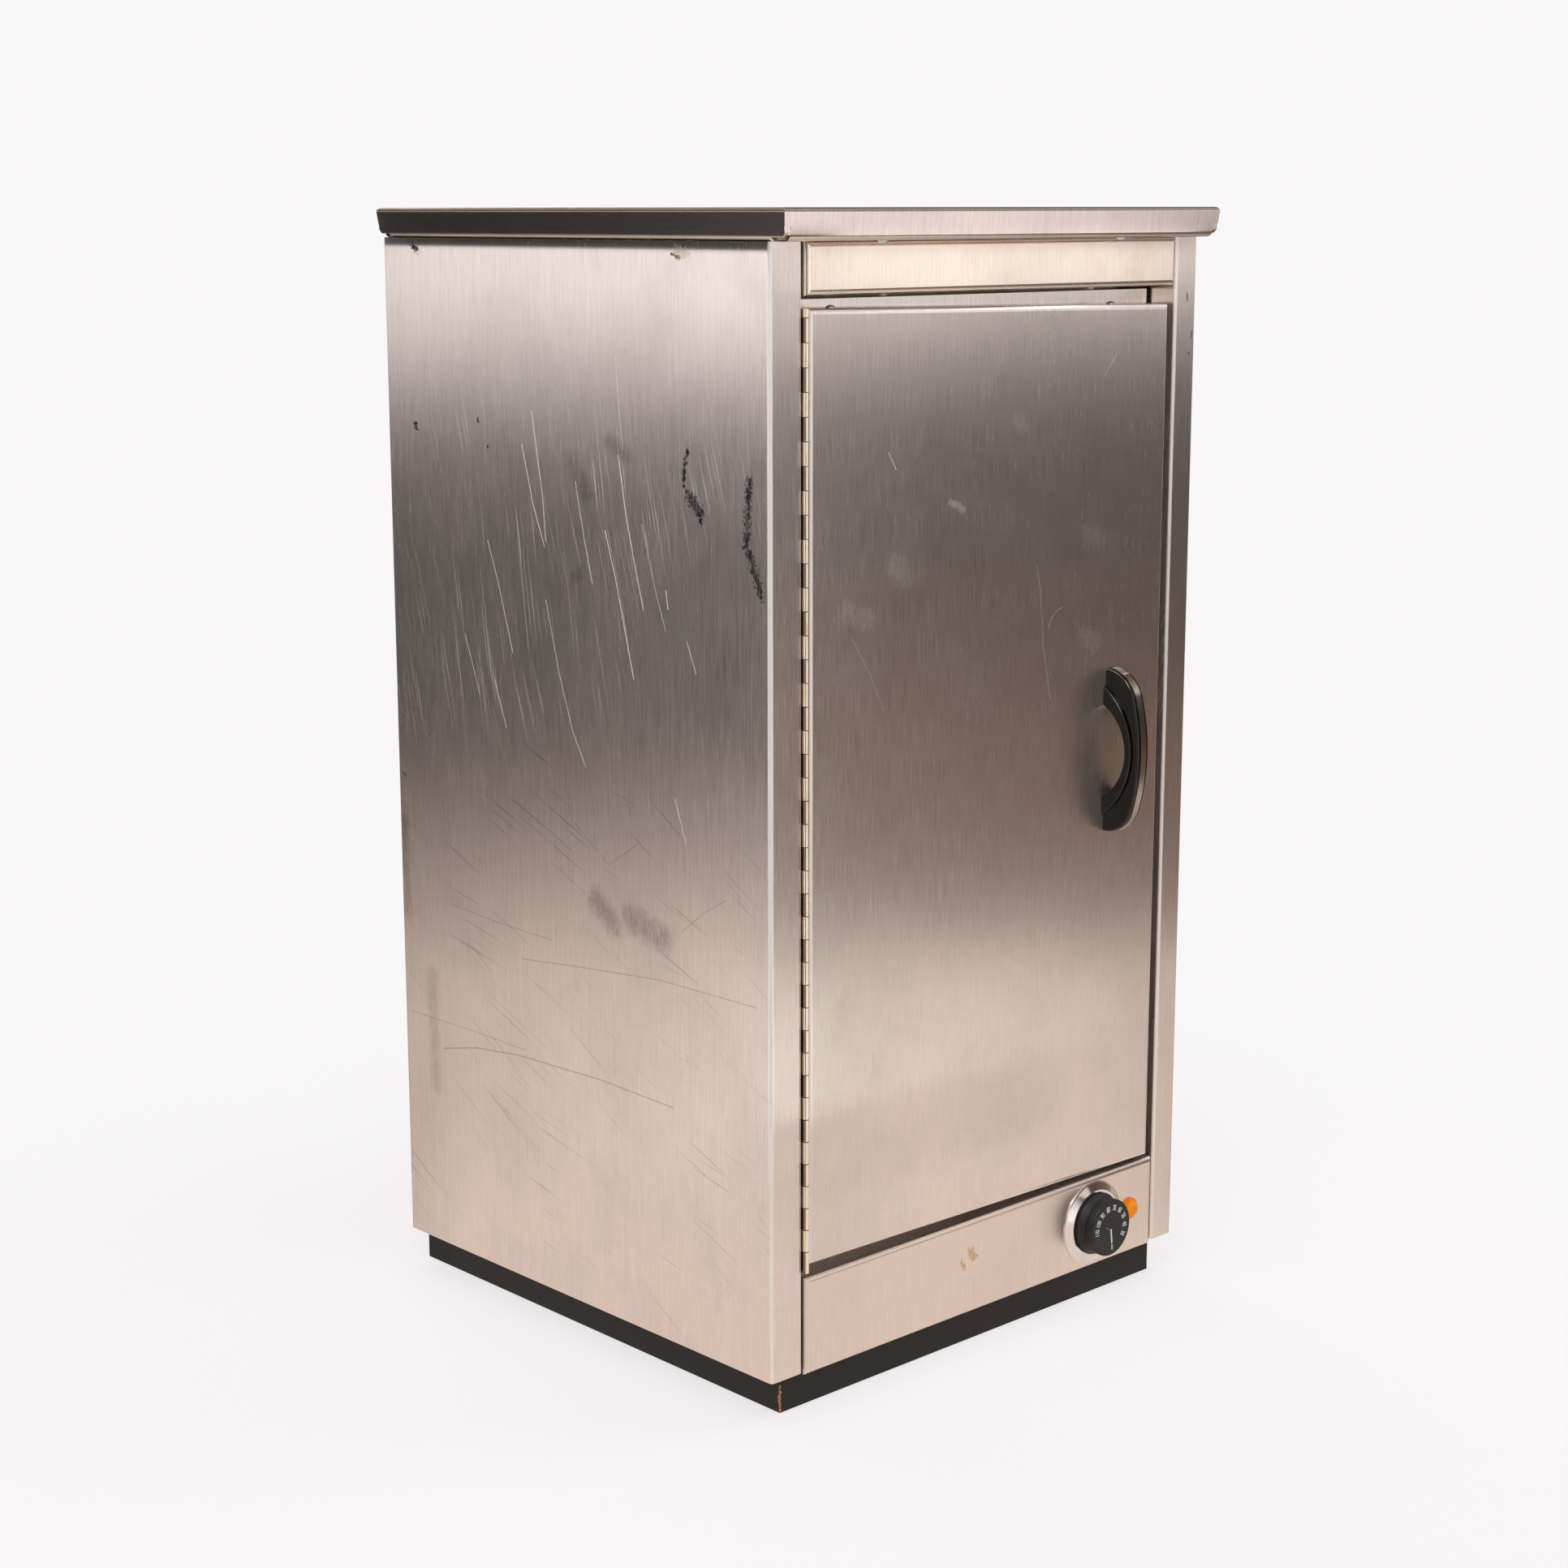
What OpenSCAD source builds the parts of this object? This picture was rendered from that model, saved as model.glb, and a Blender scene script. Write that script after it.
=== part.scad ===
// Plate warmer cabinet: a heated steel cupboard for a stack of plates, with one hinged door.
// Millimetres, +Z up. The modules work from the front plane of the posts (y = 0) and the middle
// of the width (x = 0); in_place() then moves the cabinet's footprint onto the origin.

/* [Cabinet] */
// Width of the body over its side panels
body_w = 444; // [420:1:600]
// Depth of the body, from the front of the posts to the rear
body_d = 435; // [400:1:600]
// Height to the top of the worktop
total_h = 850; // [700:1:1000]
// Thickness of the case sheet
sheet_t = 1; // [0.8:0.1:1.5]
// Outer radius of the folds in the case
fold_r = 3; // [2.5:0.5:5]
// Face width of the left post, beside the hinge
left_post_w = 30; // [26:1:40]
// Face width of the right post
right_post_w = 25; // [20:1:40]
// Depth of the post returns beside the door
post_depth = 26; // [24:1:40]
// Width of the lips behind the post returns
post_lip_w = 12; // [8:1:16]
// Width of the rear flanges of the side panels
rear_flange_w = 18; // [12:1:30]

/* [Worktop] */
// Height of the worktop's skirt
skirt_h = 22; // [18:1:40]
// How far the worktop stands out over the front
overhang_front = 18; // [14:1:40]
// How far the worktop stands out over each side
overhang_side = 3; // [2:0.5:10]
// How far the worktop stands out over the rear
overhang_back = 3; // [2:0.5:10]
// How far the foot of the skirt leans in
skirt_lean = 1.5; // [0.5:0.1:2]
// Radius of the fold at the foot of the skirt
skirt_foot_r = 5; // [2:0.5:6]
// Width of the return under the worktop
under_return_w = 22; // [20:1:40]
// Length of the notch at the corners of the skirt
notch_l = 11; // [8:1:20]
// Height of the notch at the corners of the skirt
notch_h = 2.8; // [2:0.2:4]

/* [Plinth] */
// Height of the plinth
plinth_h = 30; // [20:1:80]
// Thickness of the plinth boards
board_t = 16; // [12:1:22]
// How far the plinth stands in from each side
plinth_inset = 17; // [10:1:40]
// How far the plinth stands in from the front
plinth_inset_front = 10; // [9.5:0.5:40]

/* [Front] */
// Radius of the folds round the fascia, the door and the control panel
front_fold_r = 4; // [3:0.5:6]
// How far the fascia, the door and the control panel stand proud of the posts
front_proud = 1.5; // [0.5:0.1:2]
// Gap between the posts and the fascia or the control panel
panel_gap = 2.5; // [1:0.1:4]
// Height of the fascia below the worktop
fascia_h = 36; // [30:1:80]
// Depth of the fascia's flanges
fascia_d = 20; // [16:1:24]
// Height of the control panel
panel_h = 73.7; // [72:0.1:120]
// How far the control panel reaches below the posts
panel_drop = 2.5; // [0:0.1:4]
// Depth of the control panel's top flange
panel_d = 23; // [16:1:24]
// Gap between the fascia and the door, at the hinge
gap_over_door = 8.2; // [4:0.1:12]
// Gap between the door and the control panel, at the hinge
gap_under_door = 9; // [6.5:0.1:14]
// Gap between the door and the right post
gap_beside_door = 9; // [5:0.5:12]
// How far the free edge of the door hangs below its hinge edge
door_droop = 5.5; // [0:0.1:6]
// Thickness of the door
door_d = 24; // [22:0.5:24]
// Thickness of the door seal
seal_t = 3.2; // [2:0.1:3.2]
// Width of the door seal
seal_w = 7; // [5:0.5:8]

/* [Piano hinge] */
// Diameter of the hinge knuckles
knuckle_d = 4.6; // [4:0.1:5]
// Diameter of the hinge pin
pin_d = 2.2; // [1.8:0.1:2.4]
// Thickness of the hinge leaves
leaf_t = 1; // [0.8:0.1:1.1]
// Width of the hinge leaves
leaf_w = 18; // [16:0.5:20]
// Pitch of the knuckles
knuckle_pitch = 16.4; // [12:0.1:25]
// How far the hinge reaches below the door
hinge_drop = 4.6; // [0:0.1:6]
// How far the pin stands in front of the posts
pin_proud = 1; // [0.6:0.1:1.2]
// Screws in each hinge leaf
hinge_screw_count = 6; // [3:1:10]

/* [Handle] */
// Length of the handle along the door
handle_l = 127; // [100:1:160]
// Radius of the flat arc along the crown of the handle
handle_crown_r = 150; // [110:1:200]
// Radius of the tight arcs at its two ends
handle_end_r = 27; // [22:0.5:30]
// How far the handle stands out from the door
handle_reach = 33; // [28:1:45]
// Length of the wide inner tier of the handle
handle_tier_l = 100; // [90:1:110]
// Reach of the wide inner tier
handle_tier_reach = 27; // [24:0.5:30]
// Length of the finger gap along the door
finger_gap_l = 71; // [60:1:80]
// Depth of the finger gap
finger_gap_reach = 21.8; // [18:0.1:23]
// Width of the outer tier
handle_w = 12.8; // [10:0.1:16]
// Width of the inner tier
handle_tier_w = 18; // [16:0.5:24]
// Distance of the handle from the door's free edge
handle_from_edge = 57.3; // [40:0.1:90]
// Height of the handle's middle above the floor
handle_z = 443.7; // [300:0.1:600]
// Width of the metal strip in the handle
strip_w = 6; // [4:0.5:8]
// Thickness of the metal strip
strip_t = 1; // [0.6:0.1:1.4]

/* [Controls] */
// Distance of the knob's middle from the right post
knob_from_post = 75.1; // [72:0.1:140]
// Height of the knob above the foot of the control panel
knob_h = 37.3; // [36:0.1:60]
// Diameter of the knob's skirt
knob_d = 49; // [40:0.5:49]
// Diameter of the knob's face
knob_face_d = 45.5; // [36:0.5:47]
// Depth of the knob
knob_depth = 18.5; // [14:0.5:30]
// Fine ribs round the knob
rib_count = 60; // [24:1:90]
// Outer diameter of the bezel
bezel_d = 66.6; // [58:0.2:68]
// Height of the bezel
bezel_h = 4; // [2:0.2:6]
// Diameter of the thermostat spindle
spindle_d = 6; // [5:0.5:8]
// Distance of the pilot lamp from the knob
lamp_offset = 44.6; // [42:0.1:60]
// Diameter of the pilot lamp lens
lamp_d = 17.5; // [12:0.5:18]

/* [Chamber] */
// Thickness of the liner sheet
liner_t = 0.8; // [0.6:0.1:1.2]
// Insulation between the left side panel and the liner
insulation_t = 45; // [40:1:55]
// Insulation behind the chamber
rear_insulation_t = 27; // [20:1:50]
// Insulation over the chamber
top_insulation_t = 40; // [20:1:42]
// How far the ceiling of the chamber lies below the fascia
ceiling_drop = 30; // [26:1:40]
// How far the floor of the chamber lies above the control panel
floor_rise = 25; // [22:1:40]
// Height of the rail over the door
rail_h = 27; // [20:1:29]
// Slots across the floor pan
floor_slot_columns = 5; // [3:1:7]
// Slots from front to rear in the floor pan
floor_slot_rows = 8; // [4:1:12]
// Diameter of the rim rod of the shelves
rim_rod_d = 6; // [5:0.5:8]
// Diameter of the bars of the shelves
bar_rod_d = 3.5; // [3:0.5:5]
// Bars in each shelf
shelf_bars = 13; // [7:1:17]
// Size of the shelf runners
runner_w = 12; // [10:1:16]

/* [Heating] */
// Diameter of the tubular heating element
element_d = 8; // [6:0.5:10]
// Radius of the bend at the end of the heating element
element_bend_r = 60; // [40:1:80]
// Height of the element over the base pan
element_rise = 40; // [30:1:48]
// Diameter of the thermostat's sensor bulb
bulb_d = 6; // [5:0.5:8]
// Length of the sensor bulb
bulb_l = 80; // [60:1:110]
// Diameter of the capillary
capillary_d = 2.2; // [1.6:0.2:3]

/* [Hidden] */
$fn = 48;

// Colours of the finishes
steel = [0.72, 0.68, 0.65];
liner_steel = [0.74, 0.74, 0.73];
zinc = [0.66, 0.67, 0.68];
brass = [0.80, 0.68, 0.45];
black = [0.07, 0.07, 0.07];
laminate = [0.13, 0.12, 0.12];
board = [0.66, 0.50, 0.33];
wool = [0.80, 0.76, 0.62];
chrome = [0.82, 0.82, 0.82];
amber = [0.95, 0.50, 0.05];
ceramic = [0.88, 0.85, 0.78];
copper = [0.75, 0.45, 0.30];
rubber = [0.18, 0.17, 0.17];

// Clearances: between pieces that pass each other, and round a shank in its hole
air = 0.3;
shank_air = 0.2;
overcut = 1;

// Screws: shank and head diameters, head height
screw_d = 4;
screw_head_d = 8;
screw_head_h = 2.2;

// Case
half_w = body_w / 2;
body_top = total_h - skirt_h;
opening_left = -half_w + left_post_w;
opening_right = half_w - right_post_w;
inner_left = -half_w + sheet_t;
inner_right = half_w - sheet_t;
rear_inner = body_d - 2 * sheet_t;
front_face = -front_proud;
fascia_bottom = body_top - fascia_h;
panel_bottom = plinth_h - panel_drop;
panel_top = panel_bottom + panel_h;

// Door: its hinge edge is measured at the left, and its ends fall away to the right
pin_x = opening_left + knuckle_d / 2;
pin_y = -pin_proud;
door_left = opening_left + knuckle_d;
door_right = opening_right - gap_beside_door;
door_bottom = panel_top + gap_under_door;
door_top = fascia_bottom - gap_over_door;
door_back = front_face + door_d;
droop_angle = asin(door_droop / (door_right - door_left));
handle_x = door_right - handle_from_edge;

// Chamber
liner_left = inner_left + insulation_t;
liner_right = -liner_left;
liner_back = rear_inner - rear_insulation_t - liner_t;
ceiling = fascia_bottom - ceiling_drop;
chamber_floor = panel_top + floor_rise;
base_top = plinth_h + sheet_t;
rail_end_gap = 2.8;
liner_flange_left = opening_left + rail_end_gap;
liner_flange_right = opening_right - rail_end_gap;
pan_flange = 15;
flange_top = ceiling + 2 * liner_t;
runner_t = 1.5;
shelf_pitch = (ceiling - chamber_floor) / 4;
shelf_front = post_depth + 14;
runner_l = liner_back - shelf_front - 15.2;

// Door seal: it lies inside the door's outline and lands on the liner flanges
seal_inset = 3;
seal_left = door_left + seal_inset;
seal_right = door_right - seal_inset + 1;
seal_top = door_top - door_droop - seal_inset;
seal_bottom = door_bottom + seal_inset;

// Controls
knob_z = panel_bottom + knob_h;
knob_x = opening_right - knob_from_post;
lamp_x = knob_x + lamp_offset;
knob_back = front_face - 1;
bezel_bore_r = knob_d / 2 + 0.8;
thermostat_w = 40;
thermostat_d = 26;
mount_plate_t = 1.5;
thermostat_y = front_face + sheet_t;
spindle_hole_r = spindle_d / 2 + 2;
thermostat_screw_spread = 28;
shield_y = 84;
element_z = base_top + element_rise;
element_front = shield_y + 24;
element_leg_x = element_bend_r;
element_leg_l = 200;
gland_x = -half_w + 92;
gland_z = 62;
gland_d = 16;

// Footprint
reach_front = front_proud + handle_reach + 0.3;
worktop_back = body_d + overhang_back;
footprint_middle = (worktop_back - reach_front) / 2;

module in_place() translate([0, -footprint_middle, 0]) children();

// ---------------------------------------------------------------- shared shapes

// A box from its low corner to its high corner
module block(low, high) translate(low) cube(high - low);

// Puts a flat shape drawn in (y, z) upright and extrudes it along X from x0 to x1
module along_x(x0, x1) translate([x0, 0, 0]) rotate([90, 0, 90]) linear_extrude(x1 - x0) children();

// Puts a flat shape drawn in (x, z) upright and extrudes it along Y from y0 to y1
module along_y(y0, y1) translate([0, y1, 0]) rotate([90, 0, 0]) linear_extrude(y1 - y0) children();

// A round bar along Y or along X
module bar_y(x, z, y0, y1, r) translate([x, y0, z]) rotate([-90, 0, 0]) cylinder(h = y1 - y0, r = r);
module bar_x(y, z, x0, x1, r) translate([x0, y, z]) rotate([0, 90, 0]) cylinder(h = x1 - x0, r = r);

// Angle of a flat vector, and the turn from one vector to the next
function heading(v) = atan2(v[1], v[0]);
function turn(a, b) = let (d = heading(b) - heading(a)) d > 180 ? d - 360 : d < -180 ? d + 360 : d;
function toward(angle) = [cos(angle), sin(angle)];

// A slice of a disc between two angles less than 180 degrees apart
module sector(r, a0, a1) {
  intersection() {
    circle(r);
    polygon([[0, 0], 2 * r * toward(a0), 2 * r * toward((a0 + a1) / 2), 2 * r * toward(a1)]);
  }
}

// The section of a sheet folded along the middle line `path`, with the inner fold radius r
module folded(path, t, r) {
  rc = r + t / 2;
  last = len(path) - 1;
  turns = [for (i = [1:last - 1]) turn(path[i] - path[i - 1], path[i + 1] - path[i])];
  trims = concat([0], [for (a = turns) rc * tan(abs(a) / 2)], [0]);
  for (i = [0:last - 1]) {
    leg = path[i + 1] - path[i];
    translate(path[i]) rotate(heading(leg)) translate([trims[i], -t / 2])
      square([norm(leg) - trims[i] - trims[i + 1], t]);
  }
  for (i = [1:last - 1]) {
    into = heading(path[i] - path[i - 1]);
    side = sign(turns[i - 1]) * 90;
    centre = path[i] - trims[i] * toward(into) + rc * toward(into + side);
    start = into - side;
    translate(centre) difference() {
      sector(r + t, start, start + turns[i - 1]);
      circle(r);
    }
  }
}

// Flat rectangle whose two corners at the low first coordinate are rounded, if r is over 0
module rounded_front(low, high, r) {
  translate([low[0] + r, low[1]]) square([high[0] - low[0] - r, high[1] - low[1]]);
  if (r > 0) {
    translate([low[0], low[1] + r]) square([high[0] - low[0], high[1] - low[1] - 2 * r]);
    for (v = [low[1] + r, high[1] - r]) translate([low[0] + r, v]) circle(r);
  }
}

// A slab with its four front edges rounded as folds, mitred where they meet. Its top and
// bottom may fall away to the right by the angle `droop`: z0 and z1 are then their heights
// at x = pivot.
module front_slab(x0, x1, z0, z1, y0, y1, r, droop = 0, pivot = 0) {
  intersection() {
    translate([0, 0, z0 - 20]) linear_extrude(z1 - z0 + 40) mirror([1, 0]) rotate(90)
      rounded_front([y0, x0], [y1, x1], r);
    translate([pivot, 0, 0]) rotate([0, droop, 0]) along_x(x0 - pivot - 20, x1 - pivot + 20)
      rounded_front([y0, z0 * cos(droop)], [y1, z1 * cos(droop)], r);
  }
}

// A slab made hollow from behind: the sheet stays t thick on its face and flanges
module front_tray(x0, x1, z0, z1, y0, y1, r, t, droop = 0, pivot = 0) {
  difference() {
    front_slab(x0, x1, z0, z1, y0, y1, r, droop, pivot);
    front_slab(x0 + t, x1 - t, z0 + t, z1 - t, y0 + t, y1 + overcut, r - t, droop, pivot);
  }
}

// The outline of the door, drawn in by `inset` on its four edges
module door_slab(inset, y0, y1, r) {
  front_slab(door_left + inset, door_right - inset, door_bottom + inset, door_top - inset,
    y0, y1, r, droop_angle, door_left);
}

// Height that the sloping ends of the door have lost at x
function droop_at(x) = (x - door_left) * tan(droop_angle);

// A domed screw whose head stands on z = 0 and whose shank points down to -l
module dome_screw(l) {
  translate([0, 0, -l]) cylinder(h = l + 0.5, r = screw_d / 2);
  intersection() {
    cylinder(h = screw_head_h, r = screw_head_d / 2);
    translate([0, 0, screw_head_h - dome_sphere_r]) sphere(dome_sphere_r);
  }
}
dome_sphere_r = (pow(screw_head_d / 2 - 0.4, 2) + pow(screw_head_h - 0.5, 2))
  / (2 * (screw_head_h - 0.5));

// ---------------------------------------------------------------- case

// Section of one side panel: rear flange, side, post, return and lip
module side_section(post_w) {
  h = sheet_t / 2;
  folded([
    [rear_flange_w, body_d - h], [h, body_d - h], [h, h], [post_w - h, h],
    [post_w - h, post_depth - h], [post_w - post_lip_w, post_depth - h]
  ], sheet_t, fold_r - sheet_t);
}

module left_side_panel() {
  color(steel) difference() {
    translate([-half_w, 0, plinth_h]) linear_extrude(body_top - plinth_h) side_section(left_post_w);
    for (z = hinge_screw_heights())
      bar_x(pin_y + leaf_w - hinge_screw_edge, z, opening_left - 2 * sheet_t,
        opening_left + overcut, hinge_screw_r + shank_air);
    rear_screw_holes();
  }
}

module right_side_panel() {
  color(steel) difference() {
    translate([half_w, 0, plinth_h]) mirror([1, 0, 0])
      linear_extrude(body_top - plinth_h) side_section(right_post_w);
    rear_screw_holes();
  }
}

// Screws that hold the back panel to the rear flanges
rear_screw_x = half_w - rear_flange_w / 2 - 1;
rear_screw_heights = [for (i = [0:3]) plinth_h + 40 + i * (body_top - plinth_h - 80) / 3];
module rear_screw_holes() {
  for (x = [-rear_screw_x, rear_screw_x], z = rear_screw_heights)
    bar_y(x, z, rear_inner - 2 * overcut, body_d + overcut, screw_d / 2 + shank_air);
}

module back_panel_screws() {
  color(zinc) for (x = [-rear_screw_x, rear_screw_x], z = rear_screw_heights)
    translate([x, body_d, z]) rotate([-90, 0, 0]) dome_screw(2 * sheet_t + 2);
}

// The back panel lies against the rear flanges; it has vent slots low and high
vent_count = 9;
vent_pitch = 22;
vent_l = 40;
vent_w = 5;
module back_panel() {
  color(zinc) difference() {
    block([inner_left + fold_r, rear_inner, plinth_h], [inner_right - fold_r, rear_inner + sheet_t, body_top]);
    for (z = [base_top + 62], i = [0:vent_count - 1])
      translate([(i - (vent_count - 1) / 2) * vent_pitch, rear_inner - overcut, z]) vent_slot();
    for (i = [0:vent_count - 1])
      translate([(i - (vent_count - 1) / 2) * vent_pitch, rear_inner - overcut, body_top - 14])
        vent_slot();
    rear_screw_holes();
    bar_y(gland_x, gland_z, rear_inner - overcut, body_d, gland_d / 2 + shank_air);
  }
}

// An upright slot with round ends, cut from z - vent_l / 2 to z + vent_l / 2
module vent_slot() {
  rise = 9;
  along_y(0, sheet_t + 2 * overcut) {
    translate([-vent_w / 2, -rise]) square([vent_w, 2 * rise]);
    for (v = [-rise, rise]) translate([0, v]) circle(vent_w / 2);
  }
}

// The base pan stands on the plinth. Its four edges turn up: behind the control panel, inside
// the side panels and against the back panel.
base_flange_h = 20;
module base_pan() {
  h = sheet_t / 2;
  r = fold_r - sheet_t;
  floor_z = plinth_h + h;
  rim_z = plinth_h + base_flange_h;
  apron = front_face + sheet_t + h;
  neck = post_depth + 2;
  color(zinc) difference() {
    union() {
      along_x(opening_left + panel_gap + front_fold_r, opening_right - panel_gap - front_fold_r)
        folded([[apron, rim_z], [apron, floor_z], [neck + 1, floor_z]], sheet_t, r);
      along_x(inner_left + fold_r, inner_right - fold_r)
        folded([[neck, floor_z], [rear_inner - h, floor_z], [rear_inner - h, rim_z]], sheet_t, r);
      for (side = [0, 1]) mirror([side, 0, 0]) along_y(neck, rear_inner - fold_r)
        folded([[inner_left + h, rim_z], [inner_left + h, floor_z], [inner_left + 2 * fold_r, floor_z]],
          sheet_t, r);
    }
    for (i = [-2:2], j = [1:3])
      translate([i * inner_right / 5.5, neck + j * (rear_inner - neck) / 4, plinth_h - overcut])
        cylinder(h = 2 * overcut + sheet_t, r = 5);
  }
}

// ---------------------------------------------------------------- worktop

worktop_w = body_w + 2 * overhang_side;
worktop_d = worktop_back + overhang_front;
worktop_middle = (worktop_back - overhang_front) / 2;

// A corner of a section squared off at `at`, less its quarter circle: what a fold rounds away.
// `side` gives the signs of the directions from the circle's middle to that corner.
module fold_waste(at, r, side) {
  translate(at) scale(side) difference() {
    square(r + overcut);
    circle(r);
  }
}

// Section of the worktop box between u0 and u1: skirts lean in by `lean` towards their feet
module worktop_section(u0, u1, low, high, r_top, r_foot, lean) {
  foot0 = u0 + lean;
  foot1 = u1 - lean;
  difference() {
    polygon([
      [u0, high], [u1, high], [u1, high - r_top], [foot1, low + r_foot], [foot1, low], [foot0, low],
      [foot0, low + r_foot], [u0, high - r_top]
    ]);
    fold_waste([u0 + r_top, high - r_top], r_top, [-1, 1]);
    fold_waste([u1 - r_top, high - r_top], r_top, [1, 1]);
    fold_waste([foot0 + r_foot, low + r_foot], r_foot, [-1, -1]);
    fold_waste([foot1 - r_foot, low + r_foot], r_foot, [1, -1]);
  }
}

// The folded worktop as a box, or what is inside its sheet when inset by the sheet's thickness
module worktop_box(inset) {
  half = worktop_w / 2 - inset;
  low = body_top + inset;
  high = total_h - inset;
  r_top = fold_r - inset;
  r_foot = skirt_foot_r - inset;
  intersection() {
    along_y(-overhang_front - 1, worktop_back + 1)
      worktop_section(-half, half, low, high, r_top, r_foot, skirt_lean);
    along_x(-half - 1, half + 1)
      worktop_section(inset - overhang_front, worktop_back - inset, low, high, r_top, r_foot, skirt_lean);
  }
}

worktop_screw_x = 124;
worktop_screw_front = -overhang_front + skirt_lean + skirt_foot_r + screw_head_d / 2 + 0.3;
worktop_screw_back = worktop_back - under_return_w + 8;
module at_worktop_screws() {
  for (x = [-worktop_screw_x, worktop_screw_x], y = [worktop_screw_front, worktop_screw_back])
    translate([x, y, body_top]) children();
}

corner_seam = 0.4;

// What is cut from a side skirt beside a corner: a notch in its foot and the fine seam above
module corner_cut() {
  u = sheet_t;
  notch_end = u + notch_h + notch_l;
  along_x(worktop_w / 2 - skirt_lean - skirt_foot_r, worktop_w / 2 + 1) polygon([
    [u, body_top - 1], [u, total_h - fold_r], [u + corner_seam, total_h - fold_r],
    [u + corner_seam, body_top + 2 * notch_h], [u + notch_h, body_top + notch_h],
    [notch_end, body_top + notch_h], [notch_end, body_top - 1]
  ]);
}

// Folded tray with an under-return all round and a notch beside each corner of the side skirts
module worktop() {
  opening = skirt_lean + under_return_w;
  color(steel) difference() {
    worktop_box(0);
    worktop_box(sheet_t);
    block([-worktop_w / 2 + opening, -overhang_front + opening, body_top - overcut],
      [worktop_w / 2 - opening, worktop_back - opening, body_top + 2 * sheet_t]);
    for (side = [0, 1], end = [0, 1]) mirror([side, 0, 0]) translate([0, worktop_middle, 0])
      mirror([0, end, 0]) translate([0, -worktop_d / 2, 0]) corner_cut();
    at_worktop_screws() translate([0, 0, -overcut])
      cylinder(h = 2 * overcut + sheet_t, r = screw_d / 2 + shank_air);
  }
}

module worktop_core() {
  rim = skirt_lean + skirt_foot_r + 0.3;
  color(board) difference() {
    block([-worktop_w / 2 + rim, -overhang_front + rim, body_top + sheet_t],
      [worktop_w / 2 - rim, worktop_back - rim, total_h - sheet_t]);
    at_worktop_screws() cylinder(h = sheet_t + 14, r = screw_d / 2 + shank_air);
    hanger_screw_holes(14);
  }
}

module worktop_screws() {
  color(zinc) at_worktop_screws() mirror([0, 0, 1]) dome_screw(sheet_t + 12);
}

// ---------------------------------------------------------------- fascia and control panel

hanger_x = 108;
hanger_y = 9;
hanger_w = 16;
hanger_back = 22;
fascia_lip = 9;
module top_fascia() {
  color(steel) difference() {
    front_tray(opening_left + panel_gap, opening_right - panel_gap, fascia_bottom, body_top,
      front_face, front_face + fascia_d, front_fold_r, sheet_t);
    block([opening_left, front_face + fascia_lip, body_top - sheet_t - fold_r],
      [opening_right, front_face + fascia_d + overcut, body_top + overcut]);
    for (x = [-hanger_x, hanger_x]) translate([x, hanger_y, fascia_bottom - overcut])
      cylinder(h = 2 * overcut + sheet_t, r = screw_d / 2 + shank_air);
  }
}

// Two folded straps hang the fascia from the worktop's board
hanger_screw_y = 18;
hanger_foot = body_top + sheet_t - runner_t;
module hanger_screw_holes(l) {
  for (x = [-hanger_x, hanger_x]) translate([x, hanger_screw_y, hanger_foot - overcut])
    cylinder(h = l + runner_t + overcut, r = screw_d / 2 + shank_air);
}

module fascia_hangers() {
  h = runner_t / 2;
  color(zinc) difference() {
    for (x = [-hanger_x, hanger_x]) along_x(x - hanger_w / 2, x + hanger_w / 2)
      folded([
        [hanger_y - 5, fascia_bottom + sheet_t + h], [hanger_back + 8, fascia_bottom + sheet_t + h],
        [hanger_back + 8, hanger_foot + h], [hanger_back - 10, hanger_foot + h]
      ], runner_t, 1);
    for (x = [-hanger_x, hanger_x]) translate([x, hanger_y, fascia_bottom])
      cylinder(h = 2 * overcut + sheet_t + runner_t, r = screw_d / 2 + shank_air);
    hanger_screw_holes(0);
  }
}

// Screws and nuts through the fascia and the hangers, and the hangers' screws into the board
module fascia_screws() {
  nut_h = 3.2;
  color(zinc) for (x = [-hanger_x, hanger_x]) {
    translate([x, hanger_y, fascia_bottom]) {
      mirror([0, 0, 1]) dome_screw(sheet_t + runner_t + nut_h + 2);
      translate([0, 0, sheet_t + runner_t]) cylinder(h = nut_h, r = 4, $fn = 6);
    }
    translate([x, hanger_screw_y, hanger_foot]) mirror([0, 0, 1]) dome_screw(runner_t + 12);
  }
}

module control_panel() {
  bottom_flange_d = 9;
  color(steel) difference() {
    front_tray(opening_left + panel_gap, opening_right - panel_gap, panel_bottom, panel_top,
      front_face, front_face + panel_d, front_fold_r, sheet_t);
    block([opening_left, front_face + bottom_flange_d, panel_bottom - overcut],
      [opening_right, front_face + panel_d + overcut, plinth_h + 22]);
    bar_y(knob_x, knob_z, front_face - overcut, post_depth, spindle_hole_r);
    bar_y(lamp_x, knob_z, front_face - overcut, post_depth, lamp_stem_r + shank_air);
    for (x = [-1, 1]) bar_y(knob_x + x * thermostat_screw_spread / 2, knob_z,
      front_face - overcut, post_depth, 1.5 + shank_air);
  }
}

// ---------------------------------------------------------------- plinth

plinth_left = -half_w + plinth_inset;
plinth_right = half_w - plinth_inset;
module plinth_front_board() {
  color(laminate) block([plinth_left, plinth_inset_front, 0],
    [plinth_right, plinth_inset_front + board_t, plinth_h]);
}

module plinth_back_board() {
  color(laminate) block([plinth_left, body_d - board_t, 0], [plinth_right, body_d, plinth_h]);
}

module plinth_side_board(x) {
  color(laminate) block([x, plinth_inset_front + board_t, 0], [x + board_t, body_d - board_t, plinth_h]);
}
module plinth_left_board() plinth_side_board(plinth_left);
module plinth_right_board() plinth_side_board(plinth_right - board_t);

// ---------------------------------------------------------------- heated chamber

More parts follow.
